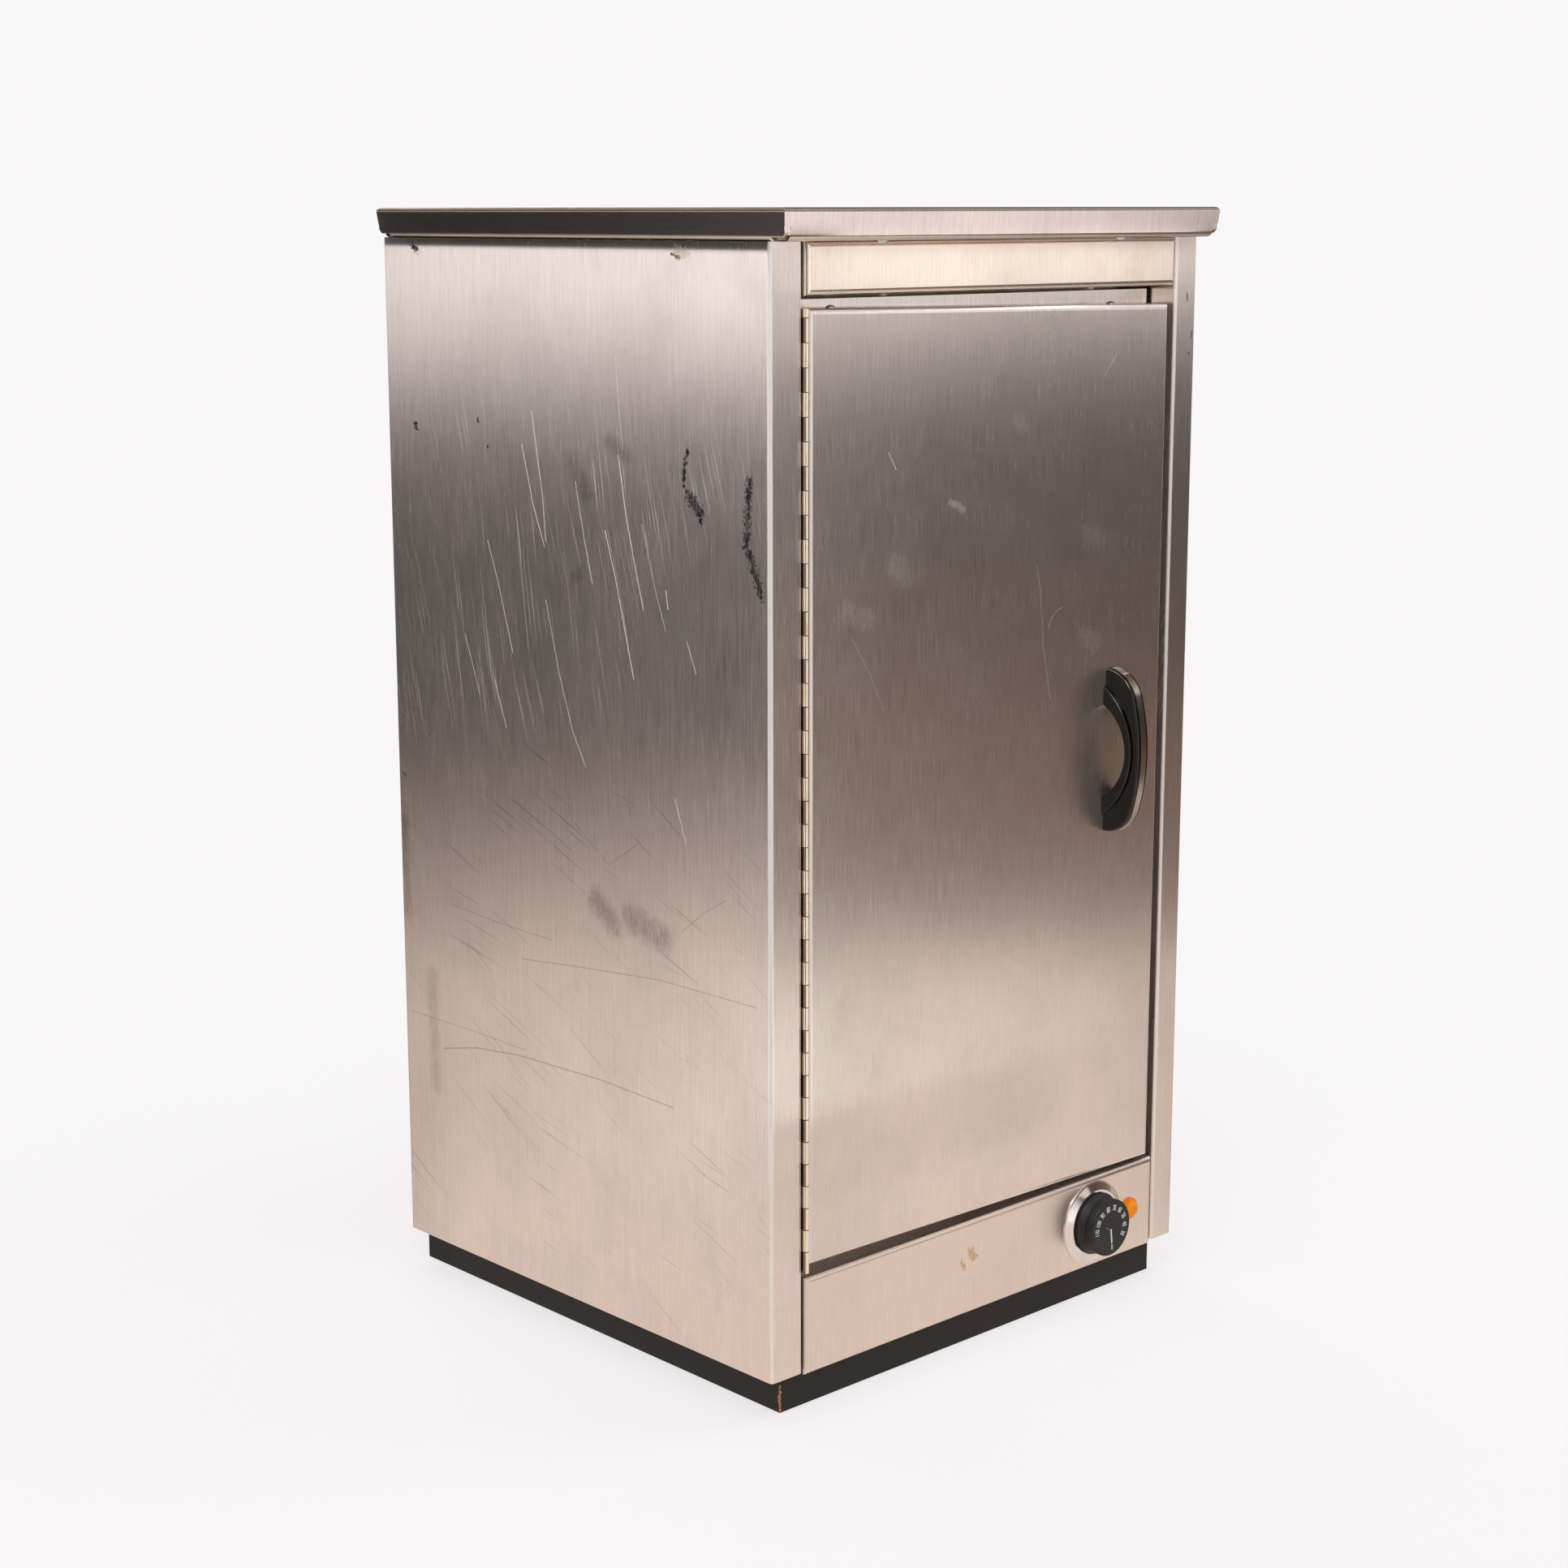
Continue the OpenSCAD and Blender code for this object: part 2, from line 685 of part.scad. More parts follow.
// Section of a side liner: wall and front flange, with a stiffening edge turned back
module liner_section(flange_w) {
  h = liner_t / 2;
  folded([
    [h, liner_back], [h, post_depth + h], [-flange_w + h, post_depth + h],
    [-flange_w + h, post_depth + 12]
  ], liner_t, 1);
}

// One side liner, its inner face turned to +X; the front flange ends under the rail
module side_liner(flange_w) {
  difference() {
    translate([0, 0, base_top]) linear_extrude(ceiling + liner_t + pan_flange - base_top)
      liner_section(flange_w);
    block([-flange_w - overcut, post_depth - overcut, flange_top],
      [liner_t + overcut, post_depth + 13, total_h]);
  }
}

module left_liner() {
  color(liner_steel) translate([liner_left, 0, 0]) side_liner(liner_left - liner_flange_left);
}

module right_liner() {
  color(liner_steel) translate([liner_right, 0, 0]) mirror([1, 0, 0])
    side_liner(liner_flange_right - liner_right);
}

module back_liner() {
  color(liner_steel) block([liner_left, liner_back, base_top],
    [liner_right, liner_back + liner_t, ceiling + liner_t + pan_flange]);
}

// Ceiling pan: its front edge turns up and shows as the rail over the door, which is wider
// than the pan and stands on the flanges of the side liners
module ceiling_pan() {
  h = liner_t / 2;
  wall = liner_left + liner_t;
  color(steel) {
    along_x(wall, -wall) folded([
      [liner_back, ceiling + h], [post_depth + h, ceiling + h], [post_depth + h, ceiling + rail_h]
    ], liner_t, 1);
    block([liner_flange_left, post_depth, flange_top],
      [liner_flange_right, post_depth + liner_t, ceiling + rail_h]);
  }
}

module floor_pan() {
  wall = liner_left + liner_t;
  h = liner_t / 2;
  slot_l = 40;
  slot_r = 3;
  color(liner_steel) difference() {
    along_x(wall, -wall) folded([
      [liner_back, chamber_floor - h], [post_depth + h, chamber_floor - h],
      [post_depth + h, panel_top - 8]
    ], liner_t, 1);
    for (i = [0:floor_slot_columns - 1], j = [0:floor_slot_rows - 1])
      translate([
        (i - (floor_slot_columns - 1) / 2) * (slot_l + 20),
        shelf_front + 40 + j * (liner_back - shelf_front - 80) / (floor_slot_rows - 1),
        chamber_floor - liner_t - overcut
      ]) linear_extrude(liner_t + 2 * overcut) {
        square([slot_l, 2 * slot_r], center = true);
        for (u = [-slot_l / 2, slot_l / 2]) translate([u, 0]) circle(slot_r);
      }
    translate([capillary_x, capillary_y, chamber_floor - liner_t - overcut])
      cylinder(h = liner_t + 2 * overcut, r = capillary_d / 2 + 1);
  }
}

// Mineral wool round the chamber; it stops short of the rear screws
screw_room = 5;
module left_insulation() {
  color(wool) block([inner_left, post_depth + 14, base_top + 24],
    [liner_left, rear_inner - screw_room, ceiling + liner_t + pan_flange]);
}

module right_insulation() {
  color(wool) block([liner_right, post_depth + 14, base_top + 24],
    [inner_right, rear_inner - screw_room, ceiling + liner_t + pan_flange]);
}

module back_insulation() {
  color(wool) block([liner_left, liner_back + liner_t, chamber_floor],
    [liner_right, rear_inner, ceiling + liner_t + pan_flange]);
}

module top_insulation() {
  color(wool) block([liner_left + liner_t, post_depth + 14, ceiling + liner_t],
    [liner_right - liner_t, liner_back, ceiling + liner_t + top_insulation_t]);
}

// ---------------------------------------------------------------- shelves

function shelf_z(level) = chamber_floor + level * shelf_pitch;

module shelf_runners(wall) {
  h = runner_t / 2;
  color(liner_steel) for (level = [1:3]) translate([wall, shelf_front, shelf_z(level)])
    mirror([wall > 0 ? 1 : 0, 0, 0]) rotate([-90, 0, 0]) mirror([0, 1])
      linear_extrude(runner_l) folded([[h, runner_w], [h, -h], [runner_w, -h]], runner_t, 1);
}
module left_shelf_runners() shelf_runners(liner_left + liner_t);
module right_shelf_runners() shelf_runners(liner_right - liner_t);

// A wire shelf: a rim of bent rod, with bars lying on it from front to rear
module wire_shelf(level) {
  rim_r = rim_rod_d / 2;
  corner = 12;
  side = liner_right - liner_t - runner_t - 1 - rim_r;
  front = shelf_front + 6;
  back = shelf_front + runner_l - 6;
  z = shelf_z(level) + rim_r + 0.1;
  sink = 0.4;
  color(chrome) {
    for (y = [front, back]) bar_x(y, z, -side + corner, side - corner, rim_r);
    for (x = [-side, side]) bar_y(x, z, front + corner, back - corner, rim_r);
    for (x = [0, 1], y = [0, 1])
      translate([0, (front + back) / 2, z]) mirror([x, 0, 0]) mirror([0, y, 0])
        translate([side - corner, (back - front) / 2 - corner, 0])
          rotate_extrude(angle = 90) translate([corner, 0]) circle(rim_r);
    for (i = [0:shelf_bars - 1])
      bar_y((i - (shelf_bars - 1) / 2) * 2 * (side - corner) / (shelf_bars - 1),
        z + rim_r + bar_rod_d / 2 - sink, front - 1, back + 1, bar_rod_d / 2);
  }
}
module lower_shelf() wire_shelf(1);
module middle_shelf() wire_shelf(2);
module upper_shelf() wire_shelf(3);

// ---------------------------------------------------------------- magnetic catch

catch_l = 46;
catch_h = 13;
catch_x = 110;
catch_front = door_back + 1.5 + air;
module catch_holder() {
  color([0.85, 0.84, 0.80]) difference() {
    block([catch_x, catch_front + 1, ceiling - catch_h], [catch_x + catch_l, catch_front + 17, ceiling]);
    block([catch_x + 8, catch_front - overcut, ceiling - catch_h + 3],
      [catch_x + catch_l - 8, catch_front + 12, ceiling - 3]);
  }
}

module catch_magnet() {
  color([0.2, 0.2, 0.2]) block([catch_x + 8, catch_front, ceiling - catch_h + 3],
    [catch_x + catch_l - 8, catch_front + 12, ceiling - 3]);
}

module strike_plate() {
  color(zinc) block([catch_x + 2, door_back, ceiling - catch_h], [catch_x + catch_l - 2, door_back + 1.5, ceiling - 1]);
}

// ---------------------------------------------------------------- door

door_screw_inset = [30.4, 320.4];
module at_door_screws() {
  for (u = door_screw_inset)
    translate([door_left + u, front_face + 11, door_top - droop_at(door_left + u)])
      rotate([0, droop_angle, 0]) children();
}

module door_skin() {
  color(steel) difference() {
    front_tray(door_left, door_right, door_bottom, door_top, front_face, door_back,
      front_fold_r, sheet_t, droop_angle, door_left);
    at_door_screws() translate([0, 0, -2 * sheet_t]) cylinder(h = 4 * sheet_t, r = screw_d / 2 + shank_air);
    at_handle_screws() translate([0, 0, -2 * overcut])
      cylinder(h = sheet_t + 3 * overcut, r = screw_d / 2 + shank_air);
    hinge_door_screw_holes(3);
  }
}

// The inner pan closes the back of the door, its edge turned forward inside the skin
door_liner_flange = 16;
module door_liner() {
  color(liner_steel) difference() {
    door_slab(sheet_t, door_back - door_liner_flange, door_back, 0);
    door_slab(sheet_t + liner_t, door_back - door_liner_flange - overcut, door_back - liner_t, 0);
    at_door_screws() translate([0, 0, -3 * sheet_t]) cylinder(h = 4 * sheet_t, r = screw_d / 2 + shank_air);
    hinge_door_screw_holes(6);
  }
}

module door_insulation() {
  color(wool) difference() {
    door_slab(sheet_t + liner_t + air, front_face + sheet_t, door_back - liner_t,
      front_fold_r - sheet_t);
    at_door_screws() translate([0, 0, -14]) cylinder(h = 14, r = screw_d / 2 + 1);
    at_handle_screws() cylinder(h = 8, r = screw_head_d / 2 + 1);
    hinge_door_screw_holes(11);
  }
}

module door_seal() {
  color(rubber) difference() {
    block([seal_left, door_back, seal_bottom], [seal_right, door_back + seal_t, seal_top]);
    block([seal_left + seal_w, door_back - overcut, seal_bottom + seal_w],
      [seal_right - seal_w, door_back + seal_t + overcut, seal_top - seal_w]);
  }
}

module door_screws() {
  color(zinc) at_door_screws() dome_screw(10);
}

// ---------------------------------------------------------------- handle

// Radius of an arc from the length of its chord and its height
function arc_radius(chord, rise) = (chord * chord / 4 + rise * rise) / (2 * rise);
tier_r = arc_radius(handle_tier_l, handle_tier_reach);
gap_r = arc_radius(finger_gap_l, finger_gap_reach);

// A disc on edge, w wide along X, whose crown stands `rise` in front of the door
module bow_disc(r, rise, w, rim_r, dz = 0) {
  translate([handle_x - w / 2, front_face - rise + r, handle_z + dz]) rotate([0, 90, 0])
    rotate_extrude($fn = 96) {
      square([r - rim_r, w]);
      if (rim_r > 0) {
        translate([0, rim_r]) square([r, w - 2 * rim_r]);
        for (v = [rim_r, w - rim_r]) translate([r - rim_r, v]) circle(rim_r);
      }
    }
}

// The outer tier's form, grown by `grow` all round: a flat crown arc that runs smoothly into a
// tight arc at each end
handle_end_dz = handle_l / 2 - handle_end_r;
handle_end_rise = handle_reach - handle_crown_r
  + sqrt(pow(handle_crown_r - handle_end_r, 2) - pow(handle_end_dz, 2));
handle_end_turn = asin(handle_end_dz / (handle_crown_r - handle_end_r));
module bow_form(grow, w, rim_r) {
  far = 2 * handle_crown_r;
  difference() {
    bow_disc(handle_crown_r + grow, handle_reach + grow, w, rim_r);
    for (side = [0, 1]) translate([handle_x - w, front_face - handle_reach + handle_crown_r, handle_z])
      mirror([0, 0, side]) rotate([90, 0, 90]) linear_extrude(2 * w)
        polygon([
          [0, 0], [-far * cos(handle_end_turn), far * sin(handle_end_turn)], [0, far]
        ]);
  }
  for (side = [-1, 1])
    bow_disc(handle_end_r + grow, handle_end_rise + handle_end_r + grow, w, rim_r, side * handle_end_dz);
}

// The bow handle: a narrow outer tier over a wide inner one, with a groove for the strip
module handle() {
  color(black) difference() {
    union() {
      bow_form(0, handle_w, 2.2);
      bow_disc(tier_r, handle_tier_reach, handle_tier_w, 1.2);
    }
    translate([handle_x - handle_tier_w, front_face - finger_gap_reach + gap_r, handle_z])
      rotate([0, 90, 0]) cylinder(h = 2 * handle_tier_w, r = gap_r, $fn = 96);
    block([handle_x - handle_tier_w, front_face, handle_z - 2 * handle_l],
      [handle_x + handle_tier_w, front_face + 4 * handle_l, handle_z + 2 * handle_l]);
    strip_band(strip_t, overcut, strip_w + 0.1);
    at_handle_screws() translate([0, 0, -handle_screw_l - overcut])
      cylinder(h = handle_screw_l + overcut, r = screw_d / 2 + shank_air);
  }
}

// The band of the metal strip, from `deep` inside the bow to `proud` outside it
module strip_band(deep, proud, w) {
  difference() {
    bow_form(proud, w, 0);
    bow_form(-deep, 2 * w, 0);
  }
}

module handle_strip() {
  end_back = 2;
  color(chrome) difference() {
    strip_band(strip_t - 0.05, 0.3, strip_w);
    block([handle_x - strip_w, front_face - end_back, handle_z - 2 * handle_l],
      [handle_x + strip_w, front_face + 4 * handle_l, handle_z + 2 * handle_l]);
  }
}

handle_screw_l = 12;
module at_handle_screws() {
  for (side = [-1, 1]) translate([handle_x, front_face, handle_z + side * (handle_tier_l + finger_gap_l) / 4])
    rotate([-90, 0, 0]) children();
}

module handle_screws() {
  color(zinc) at_handle_screws() translate([0, 0, sheet_t]) dome_screw(handle_screw_l);
}

// ---------------------------------------------------------------- piano hinge

hinge_bottom = door_bottom - hinge_drop;
hinge_l = door_top - hinge_bottom;
knuckle_count = ceil(hinge_l / knuckle_pitch);
knuckle_gap = 0.4;
leaf_notch = 0.4;
hinge_screw_r = 1.6;
hinge_head_r = 3;
hinge_screw_edge = 6;
function hinge_screw_heights() =
  [for (i = [0:hinge_screw_count - 1]) hinge_bottom + 40 + i * (hinge_l - 80) / (hinge_screw_count - 1)];
function knuckle_low(i) = hinge_bottom + i * knuckle_pitch;
function knuckle_high(i) = min(hinge_bottom + (i + 1) * knuckle_pitch, hinge_bottom + hinge_l);

// One leaf, drawn on the plus side of the pin: a plate with every second knuckle rolled on it,
// and the roll's seam left open beside the plate
module hinge_leaf(first) {
  r = knuckle_d / 2;
  difference() {
    union() {
      translate([r - leaf_t, 0, hinge_bottom]) cube([leaf_t, leaf_w, hinge_l]);
      for (i = [first:2:knuckle_count - 1])
        translate([0, 0, knuckle_low(i) + knuckle_gap / 2])
          cylinder(h = knuckle_high(i) - knuckle_low(i) - knuckle_gap, r = r);
    }
    translate([0, 0, hinge_bottom - overcut])
      cylinder(h = hinge_l + 2 * overcut, r = pin_d / 2 + 0.05);
    for (i = [1 - first:2:knuckle_count - 1])
      translate([r - leaf_t - overcut, -overcut, knuckle_low(i) - knuckle_gap / 2])
        cube([leaf_t + 2 * overcut, r + leaf_notch + overcut, knuckle_high(i) - knuckle_low(i) + knuckle_gap]);
    for (i = [first:2:knuckle_count - 1])
      translate([-r, 0.2, knuckle_low(i) - overcut])
        cube([r, 0.35, knuckle_high(i) - knuckle_low(i) + 2 * overcut]);
    for (z = hinge_screw_heights()) translate([r - leaf_t, leaf_w - hinge_screw_edge, z])
      rotate([0, 90, 0]) {
        cylinder(h = leaf_t, r1 = hinge_head_r, r2 = hinge_screw_r + shank_air);
        translate([0, 0, leaf_t - 0.1]) cylinder(h = overcut, r = hinge_screw_r + shank_air);
      }
  }
}

module hinge_frame_leaf() {
  color(brass) translate([pin_x, pin_y, 0]) mirror([1, 0, 0]) hinge_leaf(1);
}

module hinge_door_leaf() {
  color(brass) translate([pin_x, pin_y, 0]) hinge_leaf(0);
}

module hinge_pin() {
  color(brass) translate([pin_x, pin_y, 0]) {
    translate([0, 0, hinge_bottom]) cylinder(h = hinge_l, r = pin_d / 2);
    translate([0, 0, hinge_bottom - 0.9]) cylinder(h = 0.9, r1 = 0.3, r2 = pin_d / 2);
  }
}

// Countersunk screws whose heads lie flush in the thickness of the leaves
module leaf_screws(l, side) {
  color(zinc) for (z = hinge_screw_heights())
    translate([pin_x + side * (knuckle_d / 2 - leaf_t), pin_y + leaf_w - hinge_screw_edge, z])
      rotate([0, side * 90, 0]) {
        cylinder(h = leaf_t, r1 = hinge_head_r - 0.1, r2 = hinge_screw_r);
        cylinder(h = l, r = hinge_screw_r);
      }
}
module frame_leaf_screws() leaf_screws(leaf_t + sheet_t + 4, -1);
module door_leaf_screws() leaf_screws(leaf_t + sheet_t + 8, 1);

module hinge_door_screw_holes(l) {
  for (z = hinge_screw_heights()) bar_x(pin_y + leaf_w - hinge_screw_edge, z,
    door_left - overcut, door_left + l + 1, hinge_screw_r + shank_air);
}

// ---------------------------------------------------------------- controls

// Puts a shape drawn with +Z out of the panel onto the panel's face at x
module on_panel(x) translate([x, front_face, knob_z]) rotate([90, 0, 0]) children();

// Bezel: a ring that rises from a thin outer edge to a rounded inner lip
module thermostat_bezel() {
  outer = bezel_d / 2;
  color(chrome) on_panel(knob_x) rotate_extrude($fn = 96) {
    polygon([
      [bezel_bore_r, 0], [outer, 0], [outer, 0.8], [outer - 1.2, 1.2], [bezel_bore_r + 1.6, bezel_h],
      [bezel_bore_r, bezel_h]
    ]);
  }
}

// Knob: a ribbed skirt, a waist, and a face with a rounded rim
module thermostat_knob() {
  skirt_r = knob_d / 2;
  face_r = knob_face_d / 2;
  waist_r = face_r - 1.2;
  back = 1;
  front = back + knob_depth;
  rim = 1.2;
  color(black) on_panel(knob_x) difference() {
    rotate_extrude($fn = 96) {
      polygon([
        [0, back], [skirt_r - 0.6, back], [skirt_r, back + 0.6], [skirt_r, back + 5.2],
        [skirt_r - 0.8, back + 6.4], [waist_r, back + 9], [waist_r, back + 10.5],
        [face_r, back + 13], [face_r, front - rim], [face_r - rim, front - rim], [face_r - rim, front],
        [0, front]
      ]);
      translate([face_r - rim, front - rim]) circle(rim);
    }
    for (i = [0:rib_count - 1]) rotate(i * 360 / rib_count)
      translate([skirt_r + 0.15, 0, back + 1]) cylinder(h = 7, r = 0.45, $fn = 16);
    translate([0, 0, -overcut]) cylinder(h = spindle_reach + overcut + 0.2, r = spindle_d / 2 + 0.05);
  }
}

spindle_reach = 13;
module thermostat_spindle() {
  color(zinc) on_panel(knob_x) translate([0, 0, -sheet_t - mount_plate_t])
    cylinder(h = spindle_reach + sheet_t + mount_plate_t, r = spindle_d / 2);
}

// Thermostat behind the panel: mounting plate, housing and a boss at its back
module thermostat_body() {
  half = thermostat_w / 2;
  back = thermostat_y + mount_plate_t;
  color(ceramic) difference() {
    union() {
      block([knob_x - half, thermostat_y, knob_z - half + 6], [knob_x + half, back, knob_z + half - 6]);
      block([knob_x - half + 3, back, knob_z - half + 3], [knob_x + half - 3, back + thermostat_d, knob_z + half - 3]);
      bar_y(knob_x, knob_z, back + thermostat_d, back + thermostat_d + 4, 9);
    }
    bar_y(knob_x, knob_z, thermostat_y - overcut, back + 0.0, spindle_d / 2 + 0.05);
    for (x = [-1, 1]) bar_y(knob_x + x * thermostat_screw_spread / 2, knob_z,
      thermostat_y - overcut, back + 5, 1.5 + shank_air);
  }
}

module thermostat_screws() {
  color(zinc) for (x = [-1, 1]) on_panel(knob_x + x * thermostat_screw_spread / 2) {
    translate([0, 0, -sheet_t - 5]) cylinder(h = sheet_t + 5, r = 1.5);
    cylinder(h = 0.7, r = 2.8);
  }
}

lamp_stem_r = 6;
lamp_dome_h = 6.5;
lamp_rim_h = 1.5;
lamp_dome_r = (pow(lamp_d / 2, 2) + pow(lamp_dome_h - lamp_rim_h, 2)) / (2 * (lamp_dome_h - lamp_rim_h));
module pilot_lens() {
  color(amber) on_panel(lamp_x) intersection() {
    cylinder(h = lamp_dome_h, r = lamp_d / 2);
    translate([0, 0, lamp_dome_h - lamp_dome_r]) sphere(lamp_dome_r, $fn = 96);
  }
}

module pilot_holder() {
  color(black) on_panel(lamp_x) {
    translate([0, 0, -26]) cylinder(h = 26, r = lamp_stem_r);
    translate([0, 0, -sheet_t - 4]) cylinder(h = 4, r = lamp_stem_r + 3);
  }
}

// Sensor: a bulb on the right liner, with its capillary down through the floor pan
capillary_x = liner_right - liner_t - 6;
capillary_y = 60;
bulb_low = chamber_floor + 30;
module thermostat_sensor() {
  r = capillary_d / 2;
  rear = thermostat_y + mount_plate_t + thermostat_d + 4;
  color(copper) {
    bar_y(knob_x, knob_z, rear, capillary_y, r);
    translate([knob_x, capillary_y, knob_z]) sphere(r);
    bar_x(capillary_y, knob_z, knob_x, capillary_x, r);
    translate([capillary_x, capillary_y, knob_z]) sphere(r);
    translate([capillary_x, capillary_y, knob_z]) cylinder(h = bulb_low - knob_z, r = r);
    translate([capillary_x, capillary_y, bulb_low]) cylinder(h = bulb_l, r = bulb_d / 2);
  }
}

// Clips that hold the bulb to the liner
module sensor_clips() {
  wall = liner_right - liner_t;
  color(liner_steel) for (z = [bulb_low + 15, bulb_low + bulb_l - 25]) difference() {
    union() {
      translate([capillary_x, capillary_y, z]) cylinder(h = 10, r = bulb_d / 2 + 1);
      block([capillary_x, capillary_y - bulb_d / 2 - 1, z], [wall, capillary_y + bulb_d / 2 + 1, z + 10]);
      block([wall - 1, capillary_y, z], [wall, capillary_y + 18, z + 10]);
    }
    translate([capillary_x, capillary_y, z - overcut]) cylinder(h = 12, r = bulb_d / 2 + 0.05);
    block([capillary_x, capillary_y - bulb_d / 2, z - overcut], [wall, capillary_y + bulb_d / 2, z + 12]);
  }
}

// ---------------------------------------------------------------- heating

// Tubular element: two legs from the rear wall joined by a half turn at the front
module heating_element() {
  r = element_d / 2;
  bend_y = element_front + element_bend_r;
  color([0.35, 0.33, 0.32]) {
    for (x = [-element_leg_x, element_leg_x]) {
      bar_y(x, element_z, bend_y, bend_y + element_leg_l, r);
      bar_y(x, element_z, bend_y + element_leg_l, bend_y + element_leg_l + 12, r / 3);
    }
    translate([0, bend_y, element_z]) rotate(180)
      rotate_extrude(angle = 180, $fn = 96) translate([element_bend_r, 0]) circle(r);
  }
}

bracket_w = 14;
bracket_inset = 20;
bracket_y = [for (along = [bracket_inset, element_leg_l - bracket_inset - bracket_w])
  element_front + element_bend_r + along];
module element_brackets() {
  h = runner_t / 2;
  side = element_leg_x + 16;
  color(zinc) difference() {
    for (y = bracket_y) along_y(y, y + bracket_w) folded([
      [-side - 12, base_top + h], [-side, base_top + h], [-side, element_z - element_d / 2 - h],
      [side, element_z - element_d / 2 - h], [side, base_top + h], [side + 12, base_top + h]
    ], runner_t, 1);
  }
}

// Heat shield between the element and the controls
module heat_shield() {
  h = liner_t / 2;
  color(zinc) along_x(liner_left + liner_t, liner_right - liner_t) folded([
    [shield_y - 14, base_top + h], [shield_y, base_top + h], [shield_y, chamber_floor - liner_t - air]
  ], liner_t, 1);
}

// Terminal block on the base pan, behind the cable gland
terminal_w = 36;
module terminal_block() {
  low = [gland_x - terminal_w / 2, liner_back - 40, base_top];
  color(ceramic) difference() {
    block(low, low + [terminal_w, 18, 16]);
    for (i = [0:2]) translate([low[0] + 6 + i * 12, low[1] - overcut, low[2] + 9])
      rotate([-90, 0, 0]) cylinder(h = 20, r = 2.4);
    for (i = [0:2]) translate([low[0] + 6 + i * 12, low[1] + 9, low[2] + 9]) cylinder(h = 10, r = 2);
  }
}

// Cable bushing in the back panel: a flat collar outside, a grip inside, a bore for a cord
module cable_gland() {
  collar_h = worktop_back - body_d + sheet_t - 0.2;
  color(rubber) translate([gland_x, rear_inner, gland_z]) rotate([-90, 0, 0]) difference() {
    union() {
      translate([0, 0, -18]) cylinder(h = 18 + sheet_t, r = gland_d / 2);
      translate([0, 0, sheet_t]) cylinder(h = collar_h, r1 = gland_d / 2 + 4, r2 = gland_d / 2 + 3);
      translate([0, 0, -4]) cylinder(h = 4, r = gland_d / 2 + 2.5);
    }
    translate([0, 0, -20]) cylinder(h = 30, r = 4.2);
  }
}

// ---------------------------------------------------------------- the cabinet

in_place() left_side_panel();
in_place() right_side_panel();
in_place() back_panel();
in_place() base_pan();
in_place() worktop();
in_place() worktop_core();
in_place() top_fascia();
in_place() fascia_hangers();
in_place() fascia_screws();
in_place() worktop_screws();
in_place() back_panel_screws();
in_place() control_panel();
in_place() plinth_front_board();
in_place() plinth_back_board();
in_place() plinth_left_board();
in_place() plinth_right_board();
in_place() left_liner();
in_place() right_liner();
in_place() back_liner();
in_place() ceiling_pan();
in_place() floor_pan();
in_place() left_insulation();
in_place() right_insulation();
in_place() back_insulation();
in_place() top_insulation();
in_place() left_shelf_runners();
in_place() right_shelf_runners();
in_place() lower_shelf();
in_place() middle_shelf();
in_place() upper_shelf();
in_place() thermostat_sensor();
in_place() sensor_clips();
in_place() catch_holder();
in_place() catch_magnet();
in_place() strike_plate();
in_place() door_skin();
in_place() door_liner();
in_place() door_insulation();
in_place() door_seal();
in_place() door_screws();
in_place() handle();
in_place() handle_strip();
in_place() handle_screws();
in_place() hinge_frame_leaf();
in_place() hinge_door_leaf();
in_place() hinge_pin();
in_place() frame_leaf_screws();
in_place() door_leaf_screws();
in_place() thermostat_knob();
in_place() thermostat_spindle();
in_place() thermostat_body();
in_place() thermostat_screws();
in_place() thermostat_bezel();
in_place() pilot_lens();
in_place() pilot_holder();
in_place() heating_element();
in_place() element_brackets();
in_place() heat_shield();
in_place() terminal_block();
in_place() cable_gland();
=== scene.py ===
"""Dresses the plate warmer cabinet: finishes, dial, wear, studio and camera.

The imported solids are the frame. This script gives each of them its finish, adds the printed
dial and the index mark, and sets up a pale studio with the photograph's viewing angle.
Lengths are metres in the frame of the solids: +Z up, -Y towards the person at the door.
"""

from __future__ import annotations

import logging
import math
from collections.abc import Callable, Iterable
from dataclasses import dataclass
from enum import Enum
from functools import cache

import bmesh
import bpy
from mathutils import Matrix, Vector


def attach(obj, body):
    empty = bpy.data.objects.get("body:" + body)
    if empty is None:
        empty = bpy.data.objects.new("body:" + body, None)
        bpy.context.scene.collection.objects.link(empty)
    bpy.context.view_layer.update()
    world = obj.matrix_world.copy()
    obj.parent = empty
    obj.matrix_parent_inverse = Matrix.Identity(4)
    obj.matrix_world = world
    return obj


log = logging.getLogger("plate_warmer")

MM = 0.001
# The solids' drawing has y = 0 at the door's plane; the frame has its middle there
DRAWING_TO_FRAME_Y = -0.2016

Triple = tuple[float, float, float]
Point = tuple[float, float, float]
Pair = tuple[float, float]
Stops = tuple[tuple[float, Triple], ...]

FLAT = (1.0, 1.0, 0.0)
DISC_SIDES = 64
RING_STEPS = 72
RING_FOOT = -0.0003


def place(x: float, y: float, z: float) -> Point:
    """A point of the drawing, in millimetres, as a point of the frame in metres."""
    return (x * MM, y * MM + DRAWING_TO_FRAME_Y, z * MM)


# ------------------------------------------------------------------ shader tools


def operator_for(operation: str, reflected: bool = False) -> Callable[..., Shade]:
    """Makes an operator of Shade from an operation of Math and Vector Math nodes.

    Args:
        operation: the operation's name.
        reflected: whether the Shade stands at the right.

    Returns:
        The method.
    """

    def method(self: Shade, *others: Operand) -> Shade:
        """The result of the operation's node."""
        values = (*others, self) if reflected else (self, *others)
        return self.graph.combine(operation, *values)

    return method


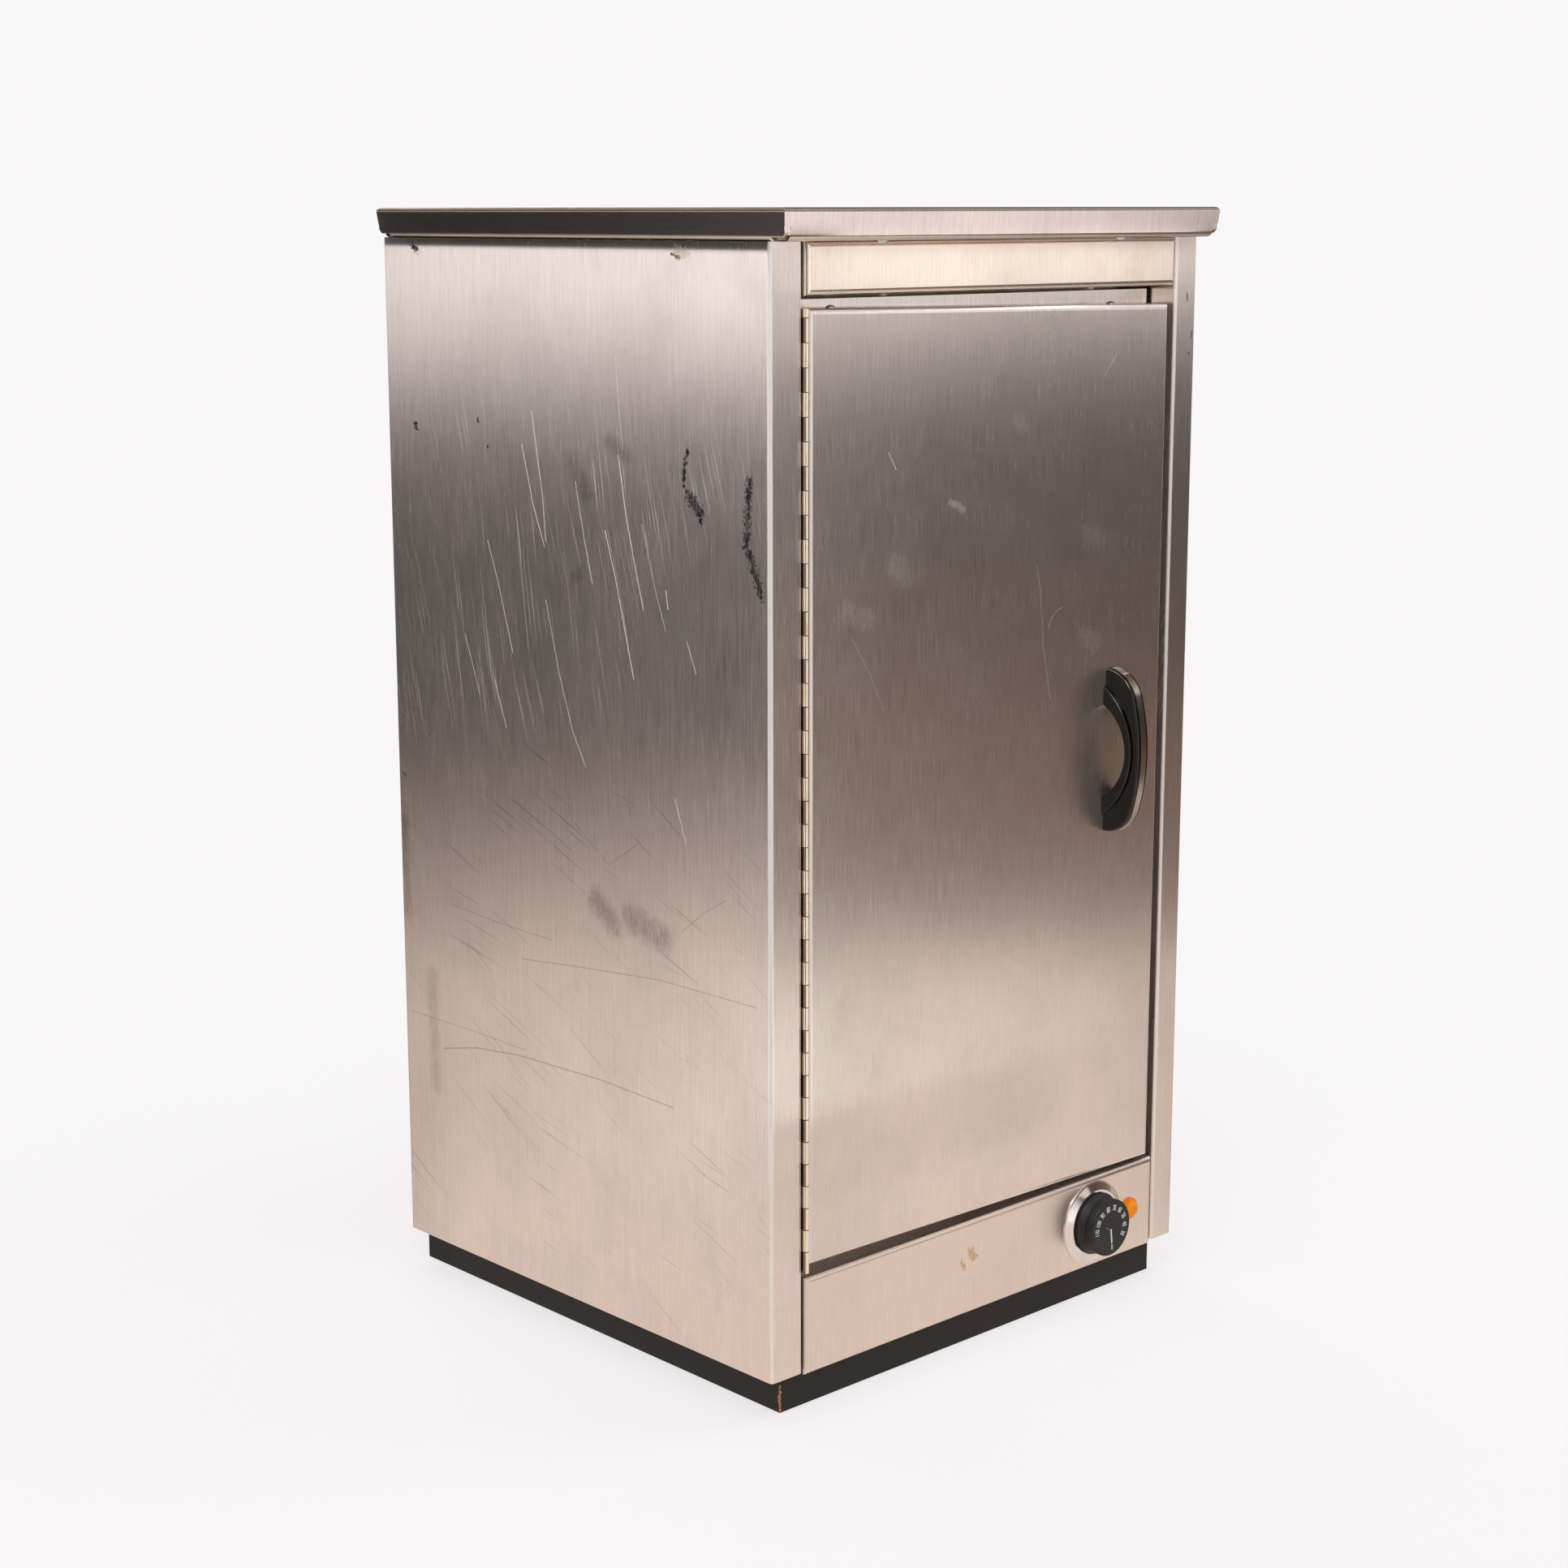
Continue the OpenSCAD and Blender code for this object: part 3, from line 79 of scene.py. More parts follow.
class Shade:
    """A node's output that takes part in Python expressions.

    Numbers go through Math nodes, colours and vectors through Vector Math nodes. Of two masks,
    | gives the larger and & the smaller.
    """

    __add__, __radd__ = operator_for("ADD"), operator_for("ADD", reflected=True)
    __sub__, __rsub__ = operator_for("SUBTRACT"), operator_for("SUBTRACT", reflected=True)
    __mul__, __rmul__ = operator_for("MULTIPLY"), operator_for("MULTIPLY", reflected=True)
    __truediv__, __abs__ = operator_for("DIVIDE"), operator_for("ABSOLUTE")
    __or__, __and__ = operator_for("MAXIMUM"), operator_for("MINIMUM")

    def __init__(self, graph: Graph, socket: bpy.types.NodeSocket) -> None:
        """Wraps one output socket of the graph."""
        self.graph = graph
        self.socket = socket

    @property
    def wide(self) -> bool:
        """Whether the socket carries three values and not one."""
        return self.socket.type in {"VECTOR", "RGBA"}

    def dot(self, other: Operand) -> Shade:
        """Scalar product of two vectors."""
        return self.graph.vector_value("DOT_PRODUCT", self, other)

    def length(self) -> Shade:
        """Length of the vector."""
        return self.graph.vector_value("LENGTH", self)

    def clamped(self) -> Shade:
        """The number held between 0 and 1."""
        made = self.graph.node("ShaderNodeClamp", {}, {"Value": self})
        return Shade(self.graph, made.outputs["Result"])

    def ramp(self, low: float, high: float, at_low: float = 0.0, at_high: float = 1.0) -> Shade:
        """The number eased from one range to another.

        Args:
            low: the input that gives at_low.
            high: the input that gives at_high.
            at_low: the output up to low.
            at_high: the output from high on.

        Returns:
            The eased number, held between the two outputs.
        """
        made = self.graph.node(
            "ShaderNodeMapRange",
            {"interpolation_type": "SMOOTHSTEP", "clamp": True},
            {"Value": self, "From Min": low, "From Max": high, "To Min": at_low, "To Max": at_high},
        )
        return Shade(self.graph, made.outputs["Result"])

    def parts(self) -> tuple[Shade, Shade, Shade]:
        """The three values of the vector."""
        made = self.graph.node("ShaderNodeSeparateXYZ", {}, {"Vector": self})
        x, y, z = (Shade(self.graph, out) for out in made.outputs)
        return x, y, z


Operand = Shade | float | Triple


class Graph:
    """The node tree of one material or world, with short ways to add nodes."""

    def __init__(self, tree: bpy.types.NodeTree, output: str = "ShaderNodeOutputMaterial") -> None:
        """Clears the tree and adds its output node."""
        self.tree = tree
        tree.nodes.clear()
        self.output = tree.nodes.new(output)

    @classmethod
    def of_material(cls, name: str) -> tuple[Graph, bpy.types.Material]:
        """A new material and the graph of its nodes."""
        material = bpy.data.materials.new(name)
        material.use_nodes = True
        return cls(material.node_tree), material

    def node(
        self,
        kind: str,
        settings: dict[str, object] | None = None,
        inputs: dict[str | int, object] | None = None,
    ) -> bpy.types.Node:
        """Adds a node.

        Args:
            kind: the node's type name.
            settings: attributes that are set first; "stops" fills a colour ramp.
            inputs: values or Shades for the node's sockets, by name or index.

        Returns:
            The new node.
        """
        made = self.tree.nodes.new(kind)
        for key, value in (settings or {}).items():
            if key == "stops":
                self.fill_ramp(made.color_ramp, value)
            else:
                setattr(made, key, value)
        for key, value in (inputs or {}).items():
            self.feed(made.inputs[key], value)
        return made

    def feed(self, socket: bpy.types.NodeSocket, value: object) -> None:
        """Links a Shade to a socket, or sets the socket's own value."""
        if isinstance(value, Shade):
            self.tree.links.new(value.socket, socket)
        elif isinstance(value, tuple) and socket.type == "RGBA":
            socket.default_value = (*value, 1.0)
        else:
            socket.default_value = value

    @staticmethod
    def fill_ramp(ramp: bpy.types.ColorRamp, stops: Stops) -> None:
        """Gives a colour ramp its stops."""
        while len(ramp.elements) < len(stops):
            ramp.elements.new(1.0)
        for element, (at, colour) in zip(ramp.elements, stops):
            element.position = at
            element.color = (*colour, 1.0)

    def combine(self, operation: str, *values: Operand) -> Shade:
        """One operation on numbers or on vectors and colours.

        Args:
            operation: the name that Math and Vector Math nodes share.
            values: one or two operands.

        Returns:
            The result, as wide as the widest operand.
        """
        wide = any(isinstance(v, tuple) or (isinstance(v, Shade) and v.wide) for v in values)
        kind = "ShaderNodeVectorMath" if wide else "ShaderNodeMath"
        spread = [
            (v, v, v) if wide and not isinstance(v, (tuple, Shade)) else v for v in values
        ]
        made = self.node(kind, {"operation": operation}, dict(enumerate(spread)))
        return Shade(self, made.outputs[0])

    def vector_value(self, operation: str, *values: Operand) -> Shade:
        """A Vector Math operation whose result is one number."""
        made = self.node("ShaderNodeVectorMath", {"operation": operation}, dict(enumerate(values)))
        return Shade(self, made.outputs["Value"])

    def blend(self, factor: Operand, a: Operand, b: Operand, mode: str = "MIX") -> Shade:
        """Mixes two colours.

        Args:
            factor: 0 gives a and 1 gives b.
            a: the first colour.
            b: the second colour.
            mode: the blend type.

        Returns:
            The mixed colour.
        """
        made = self.node(
            "ShaderNodeMix", {"data_type": "RGBA", "blend_type": mode}, {0: factor, 6: a, 7: b}
        )
        return Shade(self, made.outputs[2])

    def position(self) -> Shade:
        """The point on the piece at rest, in the frame's metres."""
        return Shade(self, self.node("ShaderNodeTexCoord").outputs["Object"])

    def facing(self) -> tuple[Shade, Shade, Shade]:
        """How far the surface faces along X, Y and Z at rest, each from 0 to 1."""
        normal = Shade(self, self.node("ShaderNodeTexCoord").outputs["Normal"])
        x, y, z = normal.parts()
        return abs(x), abs(y), abs(z)

    def noise(
        self, where: Shade, scale: Operand, detail: float = 2.0, rough: float = 0.5
    ) -> Shade:
        """Smooth noise about 0.5.

        Args:
            where: the point.
            scale: waves per metre, one number or one for each axis.
            detail: octaves of finer noise.
            rough: how strong the finer octaves are.

        Returns:
            The noise value.
        """
        made = self.node(
            "ShaderNodeTexNoise",
            {},
            {"Vector": where * scale, "Scale": 1.0, "Detail": detail, "Roughness": rough},
        )
        return Shade(self, made.outputs[0])

    def turned(self, where: Shade, turn: Triple) -> Shade:
        """The point turned by three angles in degrees."""
        angles = tuple(math.radians(a) for a in turn)
        made = self.node("ShaderNodeMapping", {}, {"Vector": where, "Rotation": angles})
        return Shade(self, made.outputs["Vector"])

    def cells(self, where: Shade, scale: Operand) -> Shade:
        """Distance to the nearest of scattered points, in cells."""
        made = self.node("ShaderNodeTexVoronoi", {}, {"Vector": where * scale, "Scale": 1.0})
        return Shade(self, made.outputs["Distance"])

    def gap_to(self, where: Shade, start: Point, end: Point) -> Shade:
        """Distance in metres from the point to a straight stretch."""
        run = Vector(end) - Vector(start)
        from_start = where - start
        along = (from_start.dot(tuple(run)) / run.length_squared).clamped()
        reached = self.node(
            "ShaderNodeVectorMath", {"operation": "SCALE"}, {"Vector": tuple(run), "Scale": along}
        )
        return (from_start - Shade(self, reached.outputs["Vector"])).length()

    def bump(self, height: Shade, depth: float, strength: float = 1.0) -> Shade:
        """The normal that a height map gives.

        Args:
            height: the height from 0 to 1.
            depth: metres between 0 and 1.
            strength: share of the effect.

        Returns:
            The bent normal.
        """
        made = self.node(
            "ShaderNodeBump", {}, {"Height": height, "Distance": depth, "Strength": strength}
        )
        return Shade(self, made.outputs["Normal"])

    def surface(self, **sockets: object) -> None:
        """Ends the graph with a Principled shader.

        Args:
            sockets: its sockets by name, with _ for each space.
        """
        inputs = {key.replace("_", " "): value for key, value in sockets.items()}
        self.show(self.shader("ShaderNodeBsdfPrincipled", inputs))

    def shader(self, kind: str, inputs: dict[str | int, object]) -> Shade:
        """The output of a shader node with those inputs."""
        return Shade(self, self.node(kind, {}, inputs).outputs[0])

    def show(self, shader: Shade) -> None:
        """Shows a shader on the surface."""
        self.feed(self.output.inputs["Surface"], shader)

    def show_seen(self, light: Shade, seen: Shade) -> None:
        """Shows one shader where it is seen directly and another where it only lights.

        Args:
            light: the shader for diffuse light.
            seen: the shader for the camera, gloss and glass.
        """
        mixed = {0: self.seen_directly(), 1: light, 2: seen}
        self.show(self.shader("ShaderNodeMixShader", mixed))

    def seen_directly(self) -> Shade:
        """1 for rays from the camera, from gloss and through glass, and 0 for diffuse light."""
        path = self.node("ShaderNodeLightPath")
        rays = ("Is Camera Ray", "Is Glossy Ray", "Is Transmission Ray")
        camera, glossy, through = (Shade(self, path.outputs[name]) for name in rays)
        return (camera + glossy + through).clamped()


# ------------------------------------------------------------------ finishes


class Grain(Enum):
    """Which way a sheet was brushed."""

    UPRIGHT = "along z"
    DEEP = "along y"


class Face(Enum):
    """Which faces of a sheet carry its fields of scratches."""

    SIDE = "the faces along x"
    FRONT = "the faces along y"


class MarkKind(Enum):
    """What a mark on the steel looks like."""

    RUBBER = "black rub mark"
    # A real scratch whose brightness is a painted glint
    SCRATCH = "bright scratch"
    HAIRLINE = "dark hairline"
    STAIN = "tan dried stain"
    SMUDGE = "dull grey smudge"
    KNOCK = "pale knock"


@dataclass(frozen=True)
class MarkLook:
    """How a kind of mark changes the steel.

    The mark's colour is `tint` over a share `cover`; `bare` is how metallic it stays, `roughen`
    is added to the roughness, `edge` is how finely its outline wanders, `reach` is how far it
    fades out in widths, and `gaps` is how much of it the grain breaks up.
    """

    tint: Triple
    cover: float
    bare: float
    roughen: float
    edge: float
    reach: float = 1.0
    gaps: float = 0.0


MARK_LOOKS = {
    MarkKind.RUBBER: MarkLook((0.012, 0.011, 0.011), 1.0, 1.0, 0.10, 420.0, gaps=0.25),
    # The scratch look is near white: a painted glint on a real scratch
    MarkKind.SCRATCH: MarkLook((1.0, 0.97, 0.94), 0.9, 1.0, 0.35, 900.0),
    MarkKind.HAIRLINE: MarkLook((0.30, 0.25, 0.21), 0.7, 1.0, 0.0, 900.0, gaps=0.4),
    MarkKind.STAIN: MarkLook((0.50, 0.29, 0.11), 0.75, 0.5, 0.20, 420.0),
    MarkKind.SMUDGE: MarkLook((0.30, 0.27, 0.25), 0.62, 1.0, 0.0, 260.0, reach=2.6, gaps=0.45),
    MarkKind.KNOCK: MarkLook((1.0, 0.95, 0.92), 0.4, 1.0, 0.12, 260.0, reach=2.4),
}


@dataclass(frozen=True)
class Mark:
    """One mark on a sheet, along a line of points.

    The edge of a mark wanders by `ragged` times its width.
    """

    kind: MarkKind
    points: tuple[Point, ...]
    width: float
    ragged: float = 0.6
    strength: float = 1.0

    def mask(self, graph: Graph, where: Shade, waver: Shade) -> Shade:
        """1 on the mark and 0 away from it.

        Args:
            graph: the material's graph.
            where: the point.
            waver: noise about 0 that makes the edge wander.

        Returns:
            The mask.
        """
        gap: Shade | None = None
        for start, end in zip(self.points, self.points[1:]):
            found = graph.gap_to(where, start, end)
            gap = found if gap is None else gap & found
        gap = gap + waver * (2 * self.ragged * self.width)
        outer = MARK_LOOKS[self.kind].reach * self.width
        return gap.ramp(outer, 0.35 * self.width, 0.0, self.strength)


@dataclass(frozen=True)
class Finish:
    """A named finish that makes its material once."""

    name: str

    @cache
    def material(self) -> bpy.types.Material:
        """The material, made on the first call."""
        graph, material = Graph.of_material(self.name)
        self.paint(graph)
        return material

    def paint(self, graph: Graph) -> None:
        """Builds the material's nodes."""
        raise NotImplementedError(self.name)


@dataclass(frozen=True)
class BrushedSteel(Finish):
    """Brushed stainless sheet with clouding, a painted highlight on its bent edges, fine scratches
    with a painted glint, and single marks.
    """

    tint: Triple = (0.80, 0.72, 0.67)
    roughness: float = 0.25
    anisotropy: float = 0.85
    grain: Grain = Grain.UPRIGHT
    grain_depth: float = 0.05
    clouding: float = 0.10
    warm_patches: float = 0.0
    scratches: float = 0.0
    scratch_lean: float = 13.0
    hairlines: float = 0.0
    face: Face = Face.SIDE
    line_length: float = 9.0
    # Strength and near-white tint of the painted highlight on the bent edges
    folds: float = 0.0
    fold_tint: Triple = (1.0, 0.98, 0.96)
    warm_tint: Triple = (0.93, 0.70, 0.50)
    scratch_tint: Triple = (0.98, 0.95, 0.92)
    hairline_tint: Triple = (0.20, 0.17, 0.15)
    grain_waves: Pair = (1300.0, 34.0)
    grain_shade: float = 0.30
    streak_shade: float = 0.05
    marks: tuple[Mark, ...] = ()

    def grain_noise(self, graph: Graph, where: Shade) -> Shade:
        """Streaks of brushing along the sheet."""
        fine, long = self.grain_waves
        if self.grain is Grain.UPRIGHT:
            return graph.noise(where, (fine, fine, long), 2.0, 0.6)
        flat = graph.noise(where, (fine, long, fine), 2.0, 0.6)
        front = graph.noise(where, (fine, long, long), 2.0, 0.6)
        _, towards, _ = graph.facing()
        return flat + (front - flat) * towards.ramp(0.5, 0.8)

    def lines(self, graph: Graph, where: Shade, lean: float, shift: float, fine: float) -> Shade:
        """A field of thin straight lines near one direction, broken into groups.

        Args:
            graph: the material's graph.
            where: the point.
            lean: degrees from upright.
            shift: moves the pattern, so that fields differ.
            fine: lines per metre across the field.

        Returns:
            1 on a line and 0 beside it.
        """
        if self.face is Face.SIDE:
            slanted = graph.turned(where, (lean, 0.0, 0.0)) * (0.0, fine, self.line_length)
        else:
            slanted = graph.turned(where, (0.0, lean, 0.0)) * (fine, 0.0, self.line_length)
        streak = graph.noise(slanted + (shift, shift, shift), 1.0, 0.0)
        groups = graph.noise(where + (shift, shift, shift), 9.0, 2.0)
        return streak.ramp(0.72, 0.78) * groups.ramp(0.50, 0.68)

    def on_face(self, graph: Graph) -> Shade:
        """1 on the faces that carry the fields of scratches."""
        x, y, _ = graph.facing()
        return (x if self.face is Face.SIDE else y).ramp(0.8, 0.95)

    def scratch_mask(self, graph: Graph, where: Shade) -> Shade:
        """Scratches near one steep direction, at about two thirds of the height, later painted bright
        as glints.
        """
        found = self.lines(graph, where, self.scratch_lean, 0.0, 950.0)
        found = found | self.lines(graph, where, self.scratch_lean - 5.0, 3.7, 1150.0)
        found = found | self.lines(graph, where, self.scratch_lean + 4.0, 6.1, 820.0) * 0.7
        height = where.parts()[2]
        region = height.ramp(0.36, 0.50) * height.ramp(0.76, 0.66) * self.on_face(graph)
        return found * region * self.scratches

    def hairline_mask(self, graph: Graph, where: Shade) -> Shade:
        """Dark hairlines that run steeply across the grain, mostly low down."""
        found = self.lines(graph, where, 68.0, 12.3, 520.0)
        found = found | self.lines(graph, where, 78.0, 17.9, 420.0)
        found = found | self.lines(graph, where, 58.0, 21.4, 600.0) * 0.8
        height = where.parts()[2]
        return found * height.ramp(0.52, 0.42) * self.on_face(graph) * self.hairlines

    def paint(self, graph: Graph) -> None:
        """Builds the material's nodes."""
        where = graph.position()
        grain = self.grain_noise(graph, where)
        streaks = graph.noise(where, (90.0, 90.0, 2.5), 4.0, 0.6)
        clouds = graph.noise(where, 9.0, 4.0, 0.6)
        patches = graph.noise(where + (4.0, 4.0, 4.0), 26.0, 5.0, 0.62)
        shade = 1.0 - clouds.ramp(0.35, 0.75) * self.clouding
        shade = shade - patches.ramp(0.52, 0.75) * (0.5 * self.clouding)
        shade = shade + (grain - 0.5) * self.grain_shade + (streaks - 0.5) * self.streak_shade
        colour = graph.blend(1.0, self.tint, shade, "MULTIPLY")
        rough = self.roughness + (clouds - 0.5) * 0.08 + (patches - 0.5) * 0.06
        rough = rough + (grain - 0.5) * 0.10
        metal: Operand = 1.0
        # Painted highlight: where the surface faces no axis fully, on its bent edges, the colour goes
        # towards a near-white tint
        if self.folds > 0:
            x, y, z = graph.facing()
            painted_fold_mask = (x | y | z).ramp(0.985, 0.86) * self.folds
            colour = graph.blend(painted_fold_mask, colour, self.fold_tint)
            rough = rough + painted_fold_mask * 0.30
        if self.warm_patches > 0:
            warm = graph.noise(where + (1.0, 7.0, 2.0), 18.0, 4.0, 0.6).ramp(0.5, 0.72)
            colour = graph.blend(warm * self.warm_patches, colour, self.warm_tint, "MULTIPLY")
        if self.scratches > 0:
            scratch = self.scratch_mask(graph, where)
            # Painted glint: the scratches are blended towards near white
            colour = graph.blend(scratch * 0.6, colour, self.scratch_tint)
            rough = rough + scratch * 0.22
        if self.hairlines > 0:
            hair = self.hairline_mask(graph, where)
            colour = graph.blend(hair * 0.30, colour, self.hairline_tint)
        for kind in MarkKind:
            marks = [mark for mark in self.marks if mark.kind is kind]
            if not marks:
                continue
            look = MARK_LOOKS[kind]
            waver = graph.noise(where, look.edge, 3.0) - 0.5
            mask = marks[0].mask(graph, where, waver)
            for mark in marks[1:]:
                mask = mask | mark.mask(graph, where, waver)
            if look.gaps > 0:
                broken = graph.noise(where, (650.0, 650.0, 90.0), 3.0).ramp(0.42, 0.62)
                mask = mask * (1.0 - broken * look.gaps)
            colour = graph.blend(mask * look.cover, colour, look.tint)
            rough = rough + mask * look.roughen
            if look.bare < 1.0:
                metal = (1.0 - mask * (1.0 - look.bare)) * metal
        graph.surface(
            Base_Color=colour,
            Metallic=metal,
            Roughness=rough,
            Anisotropic=self.anisotropy,
            Normal=graph.bump(grain, self.grain_depth * MM, 0.35),
        )


@dataclass(frozen=True)
class SatinMetal(Finish):
    """Plated, drawn or polished metal with light handling wear."""

    tint: Triple = (0.66, 0.67, 0.68)
    roughness: float = 0.35
    mottling: float = 0.15
    spangle: float = 300.0
    tarnish: Triple = (0.45, 0.43, 0.40)
    tarnish_share: float = 0.3

    def paint(self, graph: Graph) -> None:
        """Builds the material's nodes."""
        where = graph.position()
        spangle = graph.cells(where, self.spangle)
        dull = graph.noise(where, 40.0, 4.0, 0.6)
        fine = graph.noise(where, 900.0, 2.0)
        shade = 1.0 - (spangle - 0.4) * self.mottling + (fine - 0.5) * 0.06
        colour = graph.blend(1.0, self.tint, shade, "MULTIPLY")
        colour = graph.blend(dull.ramp(0.5, 0.75) * self.tarnish_share, colour, self.tarnish)
        rough = self.roughness + (dull - 0.5) * 0.18 + (spangle - 0.5) * 0.05
        graph.surface(
            Base_Color=colour,
            Metallic=1.0,
            Roughness=rough,
            Normal=graph.bump(fine, 0.02 * MM, 0.3),
        )


@dataclass(frozen=True)
class HingeBrass(Finish):
    """Pale plated brass with worn patches, and painted shade between the knuckles and on the side
    towards the post.

    The knuckles of one leaf carry more of the painted shade than those of the other. `across` runs
    from the shaded side to the lit one.
    """

    tint: Triple = (0.93, 0.80, 0.64)
    worn: Triple = (0.66, 0.44, 0.26)
    # Colour of the painted shade
    grime: Triple = (0.20, 0.11, 0.06)
    pitch: float = 16.4 * MM
    first: float = 0.0
    axis: Point = (0.0, 0.0, 0.0)
    radius: float = 2.3 * MM
    across: Triple = (0.73, -0.68, 0.0)

    def paint(self, graph: Graph) -> None:
        """Builds the material's nodes."""
        where = graph.position()
        _, _, z = where.parts()
        side = (where - self.axis).dot(self.across) / self.radius
        other = graph.combine("FRACT", (z - self.first) / (2 * self.pitch)).ramp(0.503, 0.497)
        wear = graph.noise(where, 55.0, 4.0, 0.65)
        drawn = graph.noise(where, (900.0, 900.0, 60.0), 2.0)
        phase = graph.combine("FRACT", (z - self.first) / self.pitch)
        seam = abs(phase - 0.5).ramp(0.462, 0.497)
        shade = 1.0 + (drawn - 0.5) * 0.14
        colour = graph.blend(1.0, self.tint, shade, "MULTIPLY")
        colour = graph.blend(wear.ramp(0.52, 0.78) * 0.55, colour, self.worn)
        # Painted shade: every other knuckle darker at its left, and all of them on the side towards
        # the post
        dark = other * side.ramp(0.25, -0.35) * 0.85 | side.ramp(-0.70, -0.92) * 0.9
        colour = graph.blend(dark, colour, self.grime)
        # Painted shade in the seams between the knuckles
        colour = graph.blend(seam * 0.85, colour, self.grime)
        graph.surface(
            Base_Color=colour,
            Metallic=1.0,
            Roughness=0.30 + (wear - 0.5) * 0.2 + seam * 0.3,
            Normal=graph.bump(drawn, 0.03 * MM, 0.3),
        )


@dataclass(frozen=True)
class Moulded(Finish):
    """Moulded plastic, rubber or ceramic with fine texture and dust."""

    tint: Triple = (0.03, 0.03, 0.03)
    roughness: float = 0.4
    dust: Triple = (0.35, 0.32, 0.30)
    dust_share: float = 0.05
    texture: float = 1500.0
    texture_depth: float = 0.03
    coat: float = 0.0
    gloss: float = 0.5

    def paint(self, graph: Graph) -> None:
        """Builds the material's nodes."""
        where = graph.position()
        texture = graph.noise(where, self.texture, 2.0)
        handled = graph.noise(where, 70.0, 4.0, 0.6)
        shade = 1.0 + (handled - 0.5) * 0.25
        colour = graph.blend(1.0, self.tint, shade, "MULTIPLY")
        _, _, up = graph.facing()
        dusty = (handled.ramp(0.45, 0.75) + up.ramp(0.6, 1.0) * 0.6) * self.dust_share
        colour = graph.blend(dusty.clamped(), colour, self.dust)
        graph.surface(
            Base_Color=colour,
            Roughness=self.roughness + (handled - 0.5) * 0.12 + dusty * 0.3,
            Specular_IOR_Level=self.gloss,
            Coat_Weight=self.coat,
            Coat_Roughness=0.06,
            Normal=graph.bump(texture, self.texture_depth * MM, 0.3),
        )


@dataclass(frozen=True)
class Laminate(Finish):
    """Black laminate on board, with its brown core worn through at the near upright corner."""

    tint: Triple = (0.016, 0.0135, 0.013)
    core: Triple = (0.42, 0.20, 0.09)
    speck: Triple = (0.45, 0.42, 0.40)
    corner_x: float = -0.205
    corner_front: float = 0.0

    def paint(self, graph: Graph) -> None:
        """Builds the material's nodes."""
        where = graph.position()
        x, y, _ = where.parts()
        grain = graph.noise(where, 1400.0, 3.0)
        cloud = graph.noise(where, 22.0, 4.0, 0.6)
        chips = graph.noise(where, 240.0, 4.0, 0.65)
        from_corner = (x - self.corner_x) | (y - self.corner_front)
        worn = (from_corner - (chips - 0.45) * (9 * MM)).ramp(0.9 * MM, 0.1 * MM)
        specks = graph.noise(where + (2.0, 2.0, 2.0), 420.0, 2.0).ramp(0.765, 0.80)
        shade = 1.0 + (cloud - 0.5) * 0.5 + (grain - 0.5) * 0.2
        colour = graph.blend(1.0, self.tint, shade, "MULTIPLY")
        colour = graph.blend(specks * 0.6, colour, self.speck)
        colour = graph.blend(worn, colour, self.core)
        graph.surface(
            Base_Color=colour,
            Roughness=0.48 + (cloud - 0.5) * 0.15 + worn * 0.4,
            Specular_IOR_Level=0.22,
            Normal=graph.bump(grain, 0.03 * MM, 0.3),
        )


@dataclass(frozen=True)
class Board(Finish):
    """Raw chipboard: flakes of wood pressed together."""

    tint: Triple = (0.55, 0.40, 0.25)
    pale: Triple = (0.70, 0.55, 0.38)
    dark: Triple = (0.28, 0.17, 0.09)

    def paint(self, graph: Graph) -> None:
        """Builds the material's nodes."""
        where = graph.position()
        flakes = graph.cells(where, (420.0, 160.0, 420.0))
        dust = graph.noise(where, 700.0, 3.0)
        colour = graph.blend(flakes.ramp(0.2, 0.8), self.tint, self.pale)
        colour = graph.blend(dust.ramp(0.6, 0.75) * 0.6, colour, self.dark)
        graph.surface(Base_Color=colour, Roughness=0.85, Normal=graph.bump(flakes, 0.3 * MM, 0.6))


@dataclass(frozen=True)
class Wool(Finish):
    """Yellow mineral wool with long loose fibres."""

    tint: Triple = (0.72, 0.62, 0.36)
    pale: Triple = (0.86, 0.80, 0.60)

    def paint(self, graph: Graph) -> None:
        """Builds the material's nodes."""
        where = graph.position()
        fibres = graph.noise(where, (700.0, 700.0, 90.0), 4.0, 0.7)
        across = graph.noise(graph.turned(where, (60.0, 35.0, 20.0)), (90.0, 800.0, 800.0), 3.0)
        tufts = graph.noise(where, 70.0, 3.0)
        height = fibres * 0.5 + across * 0.3 + tufts * 0.5
        colour = graph.blend(height.ramp(0.45, 0.85), self.tint, self.pale)
        graph.surface(Base_Color=colour, Roughness=0.95, Normal=graph.bump(height, 2.0 * MM, 0.8))


@dataclass(frozen=True)
class AmberLens(Finish):
    """Amber plastic with lighter rings, darker at its rim, that glows a little."""

    tint: Triple = (0.86, 0.215, 0.0)
    deep: Triple = (0.74, 0.17, 0.0)
    ring: Triple = (0.98, 0.42, 0.02)
    rim: Triple = (0.50, 0.10, 0.0)
    middle: Point = (0.0, 0.0, 0.0)

    def paint(self, graph: Graph) -> None:
        """Builds the material's nodes."""
        where = graph.position()
        from_middle = (where - self.middle).length()
        rings = graph.combine("SINE", from_middle * 4200.0)
        haze = graph.noise(where, 500.0, 3.0)
        bright = graph.combine("SINE", from_middle * 1900.0).ramp(0.2, 0.9)
        colour = graph.blend(haze.ramp(0.4, 0.8) * 0.5, self.tint, self.deep)
        colour = graph.blend(bright * 0.45, colour, self.ring)
        colour = graph.blend(from_middle.ramp(0.0055, 0.010) * 0.6, colour, self.rim)
        graph.surface(
            Base_Color=colour,
            Roughness=0.10 + haze * 0.08,
            IOR=1.49,
            Specular_IOR_Level=0.22,
            Coat_Weight=0.1,
            Coat_Roughness=0.04,
            Emission_Color=colour,
            Emission_Strength=0.10,
            Normal=graph.bump(rings, 0.05 * MM, 0.5),
        )


Rows = tuple[tuple[float, float, tuple[Pair, ...]], ...]


